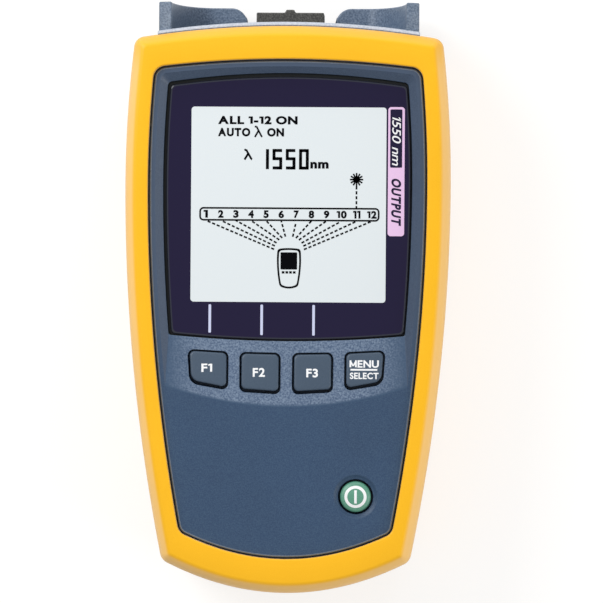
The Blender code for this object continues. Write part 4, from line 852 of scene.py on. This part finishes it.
lensLow, lensHigh = boxOf("display_lens")
lens = {
    "shift": 0.2,  # it sits a little to the right in its pocket
    "edge": 0.5, "edgeDrop": 0.3, "bottomZ": 35.5, "topBow": 210.0, "bottomBow": 305.0, "corner": 0.9,
    "windowLeft": -25.45, "windowRight": 25.95, "windowLow": -1.2, "windowHigh": 50.2, "windowCorner": 0.8,
    "layer": 0.03, "sink": 0.02,  # how far a layer of print stands out of what it lies on, and goes into it
}
lensTop = lensHigh[2]
lensShape = dict(
    holsterShape, half=lensHigh[0], top=lensHigh[1], bottom=lensLow[1],
    topBow=lens["topBow"], bottomBow=lens["bottomBow"], topCorner=lens["corner"], bottomCorner=lens["corner"],
)


def makeLens(values):
    # A flat plate with a polished bevel round its upper edge. Only the flat top is printed dark
    levels = [(lensShape, values["bottomZ"])]
    levels += roundedEdge(lensShape, lensTop, values["edge"], values["edgeDrop"], 5)
    grid = ringsOf(levels) + [values["shift"], 0, 0]
    mesh = gridMesh("lens_plate", grid)
    index = np.zeros(len(mesh.polygons), int)
    index[:(len(levels) - 1) * grid.shape[1]] = 1
    mesh.polygons.foreach_set("material_index", index)
    return mesh


lensPiece = addPiece("lens_plate", makeLens(lens), [lensNavy, lensEdge],
                     replaced=["display_lens"])
evenNormals(lensPiece)
printLow, printHigh = lensTop - lens["sink"], lensTop + lens["layer"]
inkLow, inkHigh = printHigh - lens["sink"], printHigh + lens["layer"]
glass = rectangle(lens["windowLeft"], lens["windowRight"], lens["windowLow"], lens["windowHigh"],
                  lens["windowCorner"])
addPrint("lcd_glass", [plate(glass, printLow, printHigh)], lcdGrey)

screen = {
    # words, then left, right, low, high and weight
    "words": [("ALL 1-12 ON", -18.45, 2.5, 45.6, 47.8, 0.05), ("AUTO", -18.45, -9.95, 42.4, 44.65, 0.052),
              ("ON", -5.5, -1.05, 42.4, 44.65, 0.052), ("nm", 5.95, 10.75, 34.05, 35.8, 0.05)],
    # left, right, low, high and stroke
    "lambdas": [(-8.8, -6.8, 42.25, 45.15, 0.46), (-11.5, -9.45, 36.3, 39.0, 0.54)],
    "digits": "1550", "digitLeft": -7.15, "digitPitch": 3.5, "digitWidth": 1.78, "digitLow": 34.15,
    "digitHeight": 4.6, "digitMiddle": 0.53, "stroke": 0.8,
    "reach": 0.42,  # how far a segment goes past its corners, as a share of its stroke
    "boxLeft": -23.25, "boxRight": 24.25, "boxLow": 20.15, "boxHigh": 23.75, "boxCorner": 1.1, "line": 0.45,
    "firstNumber": -21.55, "lastNumber": 22.25, "numberLow": 20.93, "numberHigh": 22.97, "numberWeight": 0.05,
    "numberHalf": [0.56, 0.71, 0.70, 0.74, 0.68, 0.72, 0.68, 0.72, 0.72, 1.32, 0.95, 1.25],
    "fanX": 0.47, "fanInner": [0.96, 1.81, 2.58, 3.28, 3.74, 3.93],  # the six inner ends on one side
    "fanY": [16.05, 15.7, 15.2, 14.4, 13.6, 12.7], "fanRise": 0.1,
    "dash": 0.85, "space": 0.45, "fanLine": 0.45,
    "starX": 18.15, "starY": 31.2, "starRadius": 1.75, "rays": 12, "ray": 0.42,
    "core": 0.9, "coreSteps": 24,
}


def digitBars(digit, left, values):
    # A digit of seven straight segments: three level ones and four upright ones
    width, height, low = values["digitWidth"], values["digitHeight"], values["digitLow"]
    middle, top, right = low + height * values["digitMiddle"], low + height, left + width
    segments = {"top": ((left, top), (right, top)), "middle": ((left, middle), (right, middle)),
                "bottom": ((left, low), (right, low)), "upperLeft": ((left, middle), (left, top)),
                "upperRight": ((right, middle), (right, top)), "lowerLeft": ((left, low), (left, middle)),
                "lowerRight": ((right, low), (right, middle))}
    lit = {"1": ["upperRight", "lowerRight"], "5": ["top", "upperLeft", "middle", "lowerRight", "bottom"],
           "0": ["top", "upperLeft", "upperRight", "lowerLeft", "lowerRight", "bottom"]}[digit]
    starts, ends = np.array([segments[name] for name in lit]).transpose(1, 0, 2)
    along = (ends - starts) / np.linalg.norm(ends - starts, axis=1, keepdims=True)
    reach = values["stroke"] * values["reach"]
    return bars(starts - along * reach, ends + along * reach, values["stroke"], inkLow, inkHigh)


# A lambda in shares of its box: its hook, its long stroke, its foot and its short leg.
lambdaStarts = np.array([(0.02, 0.93), (0.24, 0.97), (0.92, 0.06), (0.52, 0.60)])
lambdaEnds = np.array([(0.24, 0.97), (0.92, 0.06), (1.02, 0.03), (0.04, 0.0)])


def lambdaBars(left, right, low, high, stroke):
    # The lambda's four strokes stretched to a box
    size = [right - left, high - low]
    return bars(lambdaStarts * size + [left, low], lambdaEnds * size + [left, low], stroke, inkLow, inkHigh)


def displayPrint(values):
    # Everything that the LCD shows, apart from the small instrument
    plates = [lettering(*words, inkLow, inkHigh, weight) for *words, weight in values["words"]]
    plates += [lambdaBars(*place) for place in values["lambdas"]]
    for place, digit in enumerate(values["digits"]):
        plates.append(digitBars(digit, values["digitLeft"] + place * values["digitPitch"], values))
    # the row of numbers in its round-cornered box
    line = values["line"]
    box = [values["boxLeft"], values["boxRight"], values["boxLow"], values["boxHigh"]]
    outer = rectangle(*box, values["boxCorner"])
    inner = rectangle(box[0] + line, box[1] - line, box[2] + line, box[3] - line, values["boxCorner"] - line)
    plates.append(frameOf(outer, inner, inkLow, inkHigh))
    numberX = np.linspace(values["firstNumber"], values["lastNumber"], len(values["numberHalf"]))
    for number, (x, half) in enumerate(zip(numberX, values["numberHalf"]), 1):
        plates.append(lettering(str(number), x - half, x + half, values["numberLow"], values["numberHigh"],
                                inkLow, inkHigh, values["numberWeight"]))
    # dashed lines fan from the numbers to the small instrument
    reach, fanY = np.array(values["fanInner"]), np.array(values["fanY"])
    fanEnds = np.column_stack([values["fanX"] + np.concatenate([-reach[::-1], reach]),
                               np.concatenate([fanY[::-1], fanY])])
    fanStarts = np.column_stack([numberX, np.full(len(numberX), values["boxLow"] + values["fanRise"])])
    dashed = [values["dash"], values["space"], values["fanLine"], inkLow, inkHigh]
    plates.append(dashes(fanEnds, fanStarts, *dashed))
    star = np.array([values["starX"], values["starY"]])
    plates.append(dashes(star - [0, values["starRadius"]], [star[0], values["boxHigh"]], *dashed))
    rays = circlePoints(*star, values["starRadius"], values["rays"])
    plates.append(bars(np.broadcast_to(star, rays.shape), rays, values["ray"], inkLow, inkHigh))
    plates.append(plate(circlePoints(*star, values["core"], values["coreSteps"]), inkLow, inkHigh))
    return plates


icon = {
    "left": -2.7, "right": 3.66, "low": 2.4, "high": 13.05, "line": 0.5,
    "topCorner": 12.0, "bottomCorner": 15.0,  # in the holster's measures
    "screen": (-1.75, 2.63, 7.4, 11.93, 0.2),
    "dotX": [-1.05, -0.07, 0.91, 1.89], "dotY": 6.65, "dotWidth": 0.7, "dotHeight": 0.62,
}


def iconPrint(values):
    # The small picture of the instrument: the holster's outline stretched to a box, a screen and four keys
    shape = dict(holsterShape, topCorner=values["topCorner"], bottomCorner=values["bottomCorner"])
    outline = outlinePoints(shape)
    share = (outline - outline.min(0)) / np.ptp(outline, 0)
    low, high = np.array([values["left"], values["low"]]), np.array([values["right"], values["high"]])
    outer = low + share * (high - low)
    inner = low + values["line"] + share * (high - low - 2 * values["line"])
    starts = np.array([(x - values["dotWidth"] / 2, values["dotY"]) for x in values["dotX"]])
    return [frameOf(outer, inner, inkLow, inkHigh), plate(rectangle(*values["screen"]), inkLow, inkHigh),
            bars(starts, starts + [values["dotWidth"], 0], values["dotHeight"], inkLow, inkHigh)]


addPrint("lcd_print", displayPrint(screen) + iconPrint(icon), segmentBlack)

# Three pale lines lead from the display to the keys.
lines = {"x": [-20.3, -6.62, 7.06], "topY": -1.9, "bottomY": [-9.35, -9.92, -9.95], "half": 0.34,
         "corner": 0.2}
marks = [rectangle(x - lines["half"], x + lines["half"], low, lines["topY"], lines["corner"])
         for x, low in zip(lines["x"], lines["bottomY"])]
addPrint("key_lines", [plate(mark, printLow, printHigh) for mark in marks], linePale)

# The label beside the display: a pale band with a dark field for the wavelength.
label = {
    "band": (26.4, 30.75, 16.35, 50.35, 0.8), "field": (26.95, 30.1, 34.4, 49.75, 0.3),  # sides, then corner
    "words": ("OUTPUT", 27.3, 29.9, 19.0, 31.5), "wordsWeight": 0.045,
    "value": ("1550 nm", 27.45, 29.75, 34.9, 47.7), "valueWeight": 0.005, "slant": 0.25,
}
band = plate(rectangle(*label["band"]), printLow, printHigh)
addPrint("label_band", [band], labelPink)
field = plate(rectangle(*label["field"]), inkLow, inkHigh)
words = lettering(*label["words"], inkLow, inkHigh, label["wordsWeight"], label["slant"], turned=True)
addPrint("label_field", [field, words], lensNavy)
value = lettering(*label["value"], inkHigh - lens["sink"], inkHigh + lens["sink"], label["valueWeight"],
                  label["slant"], turned=True)
addPrint("label_value", [value], legendWhite)
print("lens and display made")

# Legends on the keys

legends = {
    "key_f1": [("F1", -22.35, -19.5, -19.72, -17.5)],
    "key_f2": [("F2", -8.8, -5.6, -20.88, -18.55)],
    "key_f3": [("F3", 5.28, 8.35, -20.95, -18.65)],
    "key_menu": [("MENU", 16.65, 24.35, -18.3, -16.35), ("SELECT", 16.75, 24.3, -21.3, -19.6)],
}
menuRule = {"ends": [(16.9, -18.85), (23.95, -18.85)], "width": 0.45}
legendDepth, legendWeight = 0.05, 0.03


for index, name in enumerate(keys["names"]):
    plates = [lettering(*line, -legendDepth / 2, legendDepth / 2, legendWeight) for line in legends[name]]
    if name == "key_menu":
        plates.append(bentBar(*menuRule["ends"], 8, menuRule["width"], -legendDepth / 2, legendDepth / 2))
    plates = laidOn(lambda x, y: keyTopZ(index, keys, x, y), plates)
    addPrint(name + "_legend", plates, legendWhite, keys["bodies"][index])

middle = np.array([power["x"], power["y"]])
reach = np.array([0, power["bar"] / 2])
outer = circlePoints(*middle, power["ring"])
inner = circlePoints(*middle, power["ring"] - power["ringWidth"])
ring = frameOf(outer, inner, -lens["sink"], power["print"])
bar = bentBar(middle - reach, middle + reach, 8, power["barWidth"], -lens["sink"], power["print"])
symbol = laidOn(lambda x, y: powerTopZ(np.hypot(x - middle[0], y - middle[1])), [ring, bar])
addPrint("power_symbol", symbol, legendWhite, "power")
print("legends made")

# Neck and guards


def neckY(x):
    # y = top - x^2 / (2 topBow)
    return neck["top"] - x ** 2 / (2 * holsterShape["topBow"])


def makeNeck(values):
    # A rounded upright section carried across, along the neck's front
    section = rectangle(-values["depth"], 0, values["low"], values["high"], values["round"], 5)
    rings = [np.column_stack([np.full(len(section), x), neckY(x) + section[:, 0], section[:, 1]])
             for x in np.linspace(-values["half"], values["half"], values["rings"])]
    mesh = gridMesh("case_neck", np.stack(rings), splitBent=True)
    # the rounded front edge, which faces up and forwards, is coloured pale as a painted highlight
    normals = np.empty(len(mesh.polygons) * 3)
    mesh.polygons.foreach_get("normal", normals)
    lit = (normals.reshape(-1, 3)[:, 1:] > values["litSlope"]).all(1)
    mesh.polygons.foreach_set("material_index", lit.astype(int))
    return mesh


neckPiece = addPiece("case_neck", makeNeck(neck), [guardPlastic, neckPaintedHighlight],
                     replaced=["port_guard"])
opening = rectangle(-neck["portHalf"], neck["portHalf"], neck["portIn"], neck["portOut"])
opening = prismMesh("port_opening", opening, neck["portZ"] - neck["portHalfHeight"],
                    neck["portZ"] + neck["portHalfHeight"])
cutOut(neckPiece, [opening])
softEdges(neckPiece, neck["edge"], angle=50)

guards = {
    "inner": 11.7, "outer": 34.4, "post": 3.4, "sweep": 11.0, "wall": 3.4, "root": 1.5,
    "lowZ": 5.0, "highZ": 35.0, "endY": boxOf("port_guard")[1][1], "endWide": 4.4, "endLong": 4.9,
    "endAngle": 0.04,  # where on its quarter ellipse the end begins
    "postFall": np.array([0.525, 1.5]),  # drop of the post's top, halfway out and at its outer side
    "edge": 0.35, "endSteps": 14, "sweepSteps": 28,
}


def makeGuard(side, values):
    # Sections across the guard, one for each x. Its end follows a quarter ellipse at the inner end, and its
    # front follows a quarter ellipse from the low back wall up to the post
    start, stop = values["outer"] - values["post"] - values["sweep"], values["outer"] - values["post"]
    turn = np.linspace(values["endAngle"], np.pi / 2, values["endSteps"])
    roundX = values["inner"] + values["endWide"] * (1 - np.cos(turn))
    angle = np.linspace(np.pi / 2, 0, values["sweepSteps"])
    sweepX = start + values["sweep"] * np.cos(angle)
    postX = [stop + 0.5 * values["post"], values["outer"]]
    x = np.concatenate([roundX, sweepX, postX])
    endY = np.full(len(x), values["endY"])
    endY[:len(turn)] -= values["endLong"] * (1 - np.sin(turn))
    lowZ, floor = np.full(len(x), values["lowZ"]), values["lowZ"] + values["wall"]
    sweepZ = values["highZ"] - (values["highZ"] - floor) * np.sin(angle)
    topZ = np.concatenate([np.full(len(turn), floor), sweepZ, values["highZ"] - values["postFall"]])
    rootY = neckY(x) - values["root"]
    corners = [(rootY, lowZ), (endY, lowZ), (endY, topZ), (rootY, topZ)]
    grid = np.stack([np.column_stack([side * x, y, z]) for y, z in corners], 1)
    return gridMesh("guard", grid)


for side, name in ((-1, "guard_left"), (1, "guard_right")):
    guardPiece = addPiece(name, makeGuard(side, guards), [guardPlastic])
    softEdges(guardPiece, guards["edge"], angle=40)
print("neck and guards made")

# Dust cap

capLow, capHigh = boxOf("port_cap")
cap = {
    "thickness": 2.9, "half": 9.0, "tab": 0.8, "tabHalf": 1.05, "tabSlope": 0.35,
    "plugHalf": 6.1, "plugHalfHeight": 3.4, "edge": 0.3,
}


def makeCap(values):
    # The plate and its pull tab, seen from the front, carried up through its height
    top, shoulder = capHigh[1], capHigh[1] - values["tab"]
    low, half, tabHalf = shoulder - values["thickness"], values["half"], values["tabHalf"]
    foot = tabHalf + values["tabSlope"]
    profile = np.array([(-half, low), (half, low), (half, shoulder), (foot, shoulder), (tabHalf, top),
                        (-tabHalf, top), (-foot, shoulder), (-half, shoulder)])
    return prismMesh("cap_plate", profile, capLow[2], capHigh[2])


capPiece = addPiece("cap_plate", makeCap(cap), [capPlastic], "cap", ["port_cap"])
softEdges(capPiece, cap["edge"], angle=30)
plug = np.stack([np.column_stack([np.array([-1, 1, 1, -1]) * cap["plugHalf"], np.full(4, y),
                                  neck["portZ"] + np.array([-1, -1, 1, 1]) * cap["plugHalfHeight"]])
                 for y in (capLow[1], capHigh[1] - cap["thickness"])])
addPiece("cap_plug", gridMesh("cap_plug", plug), [portBlack], "cap")
print("dust cap made")

# Floor, light and camera

room = {
    "floorHalf": 4.0, "floorColour": (165, 165, 165), "floorGlow": 0.70, "worldStrength": 0.45,
    "keyPlace": (-0.50, 0.40, 0.51), "keySize": 0.48, "keyPower": 3.95,
    "backPlace": (0.15, 1.15, 0.42), "backSize": (1.0, 0.3), "backPower": 4.0,
    "fillPlace": (1.0, -0.3, 0.5), "fillSize": 0.8, "fillPower": 5.2,
}
view = {
    "target": (0.0039, -0.0010, 0.0386), "distance": 1.19, "across": 0.1586,
    "turn": 1.4, "roll": 0.385, "sensor": 36.0, "farthest": 20.0,
}


def cameraGlossyOrGlass(tree):
    # 1 for rays from the camera, from gloss and through glass
    path = addNode(tree, "ShaderNodeLightPath", {}).outputs
    first = calculate(tree, "MAXIMUM", path["Is Camera Ray"], path["Is Glossy Ray"])
    return calculate(tree, "MAXIMUM", first, path["Is Transmission Ray"])


def makeFloor(values):
    # A sheet of pale paper that looks brighter than it lights the part
    half = values["floorHalf"]
    corners = [(-half, -half, 0), (half, -half, 0), (half, half, 0), (-half, half, 0)]
    mesh = bpy.data.meshes.new("floor")
    mesh.from_pydata(corners, [], [(0, 1, 2, 3)])
    material, tree, shader = newMaterial("palePaper")
    setInputs(tree, shader, {
        "Base Color": linear(values["floorColour"]), "Roughness": 0.9, "Specular IOR Level": 0.1,
        "Emission Color": (1, 1, 1, 1),
        "Emission Strength": calculate(tree, "MULTIPLY", cameraGlossyOrGlass(tree), values["floorGlow"]),
    })
    mesh.materials.append(material)
    floor = newObject("floor", mesh)


def makeWorld(values):
    # A white world that lights the part less than it shows in its gloss
    world = bpy.data.worlds.new("studio")
    bpy.context.scene.world = world
    world.use_nodes = True
    tree = world.node_tree
    strength = evenShare(tree, cameraGlossyOrGlass(tree), 0.0, 1.0, values["worldStrength"], 1.0)
    setInputs(tree, tree.nodes["Background"], {"Color": (1, 1, 1, 1), "Strength": strength})


def facing(place, back, up):
    # The matrix of a light or camera at a place that looks away from back, with up near the top
    right = np.cross(up, back)
    right /= np.linalg.norm(right)
    axes = np.column_stack([right, np.cross(back, right), back, place])
    return Matrix(np.vstack([axes, [0, 0, 0, 1]]).tolist())


def areaLight(name, place, size, power, target=(0, 0, 0.03)):
    # A lamp that looks at the part; a single size makes it round
    light = bpy.data.lights.new(name, "AREA")
    light.energy = power
    if isinstance(size, tuple):
        light.shape = "RECTANGLE"
        light.size, light.size_y = size
    else:
        light.shape = "DISK"
        light.size = size
    back = np.array(place) - np.array(target)
    newObject(name, light).matrix_world = facing(place, back / np.linalg.norm(back), (0, 0, 1))


def makeCamera(values):
    # The photograph's view: almost straight down, turned a little to the right, and rolled
    turn, roll = math.radians(values["turn"]), math.radians(values["roll"])
    back = np.array([math.sin(turn), 0, math.cos(turn)])
    place = np.array(values["target"]) + back * values["distance"]
    camera = newObject("camera", bpy.data.cameras.new("camera"))
    camera.data.sensor_width = values["sensor"]
    camera.data.lens = values["sensor"] * values["distance"] / values["across"]
    camera.data.clip_end = values["farthest"]
    camera.matrix_world = facing(place, back, (-math.sin(roll), math.cos(roll), 0))
    bpy.context.scene.camera = camera


makeFloor(room)
makeWorld(room)
areaLight("key_light", room["keyPlace"], room["keySize"], room["keyPower"])
areaLight("back_light", room["backPlace"], room["backSize"], room["backPower"])
areaLight("fill_light", room["fillPlace"], room["fillSize"], room["fillPower"])
makeCamera(view)
bpy.context.scene.view_settings.view_transform = "Standard"
print("floor, light and camera made")
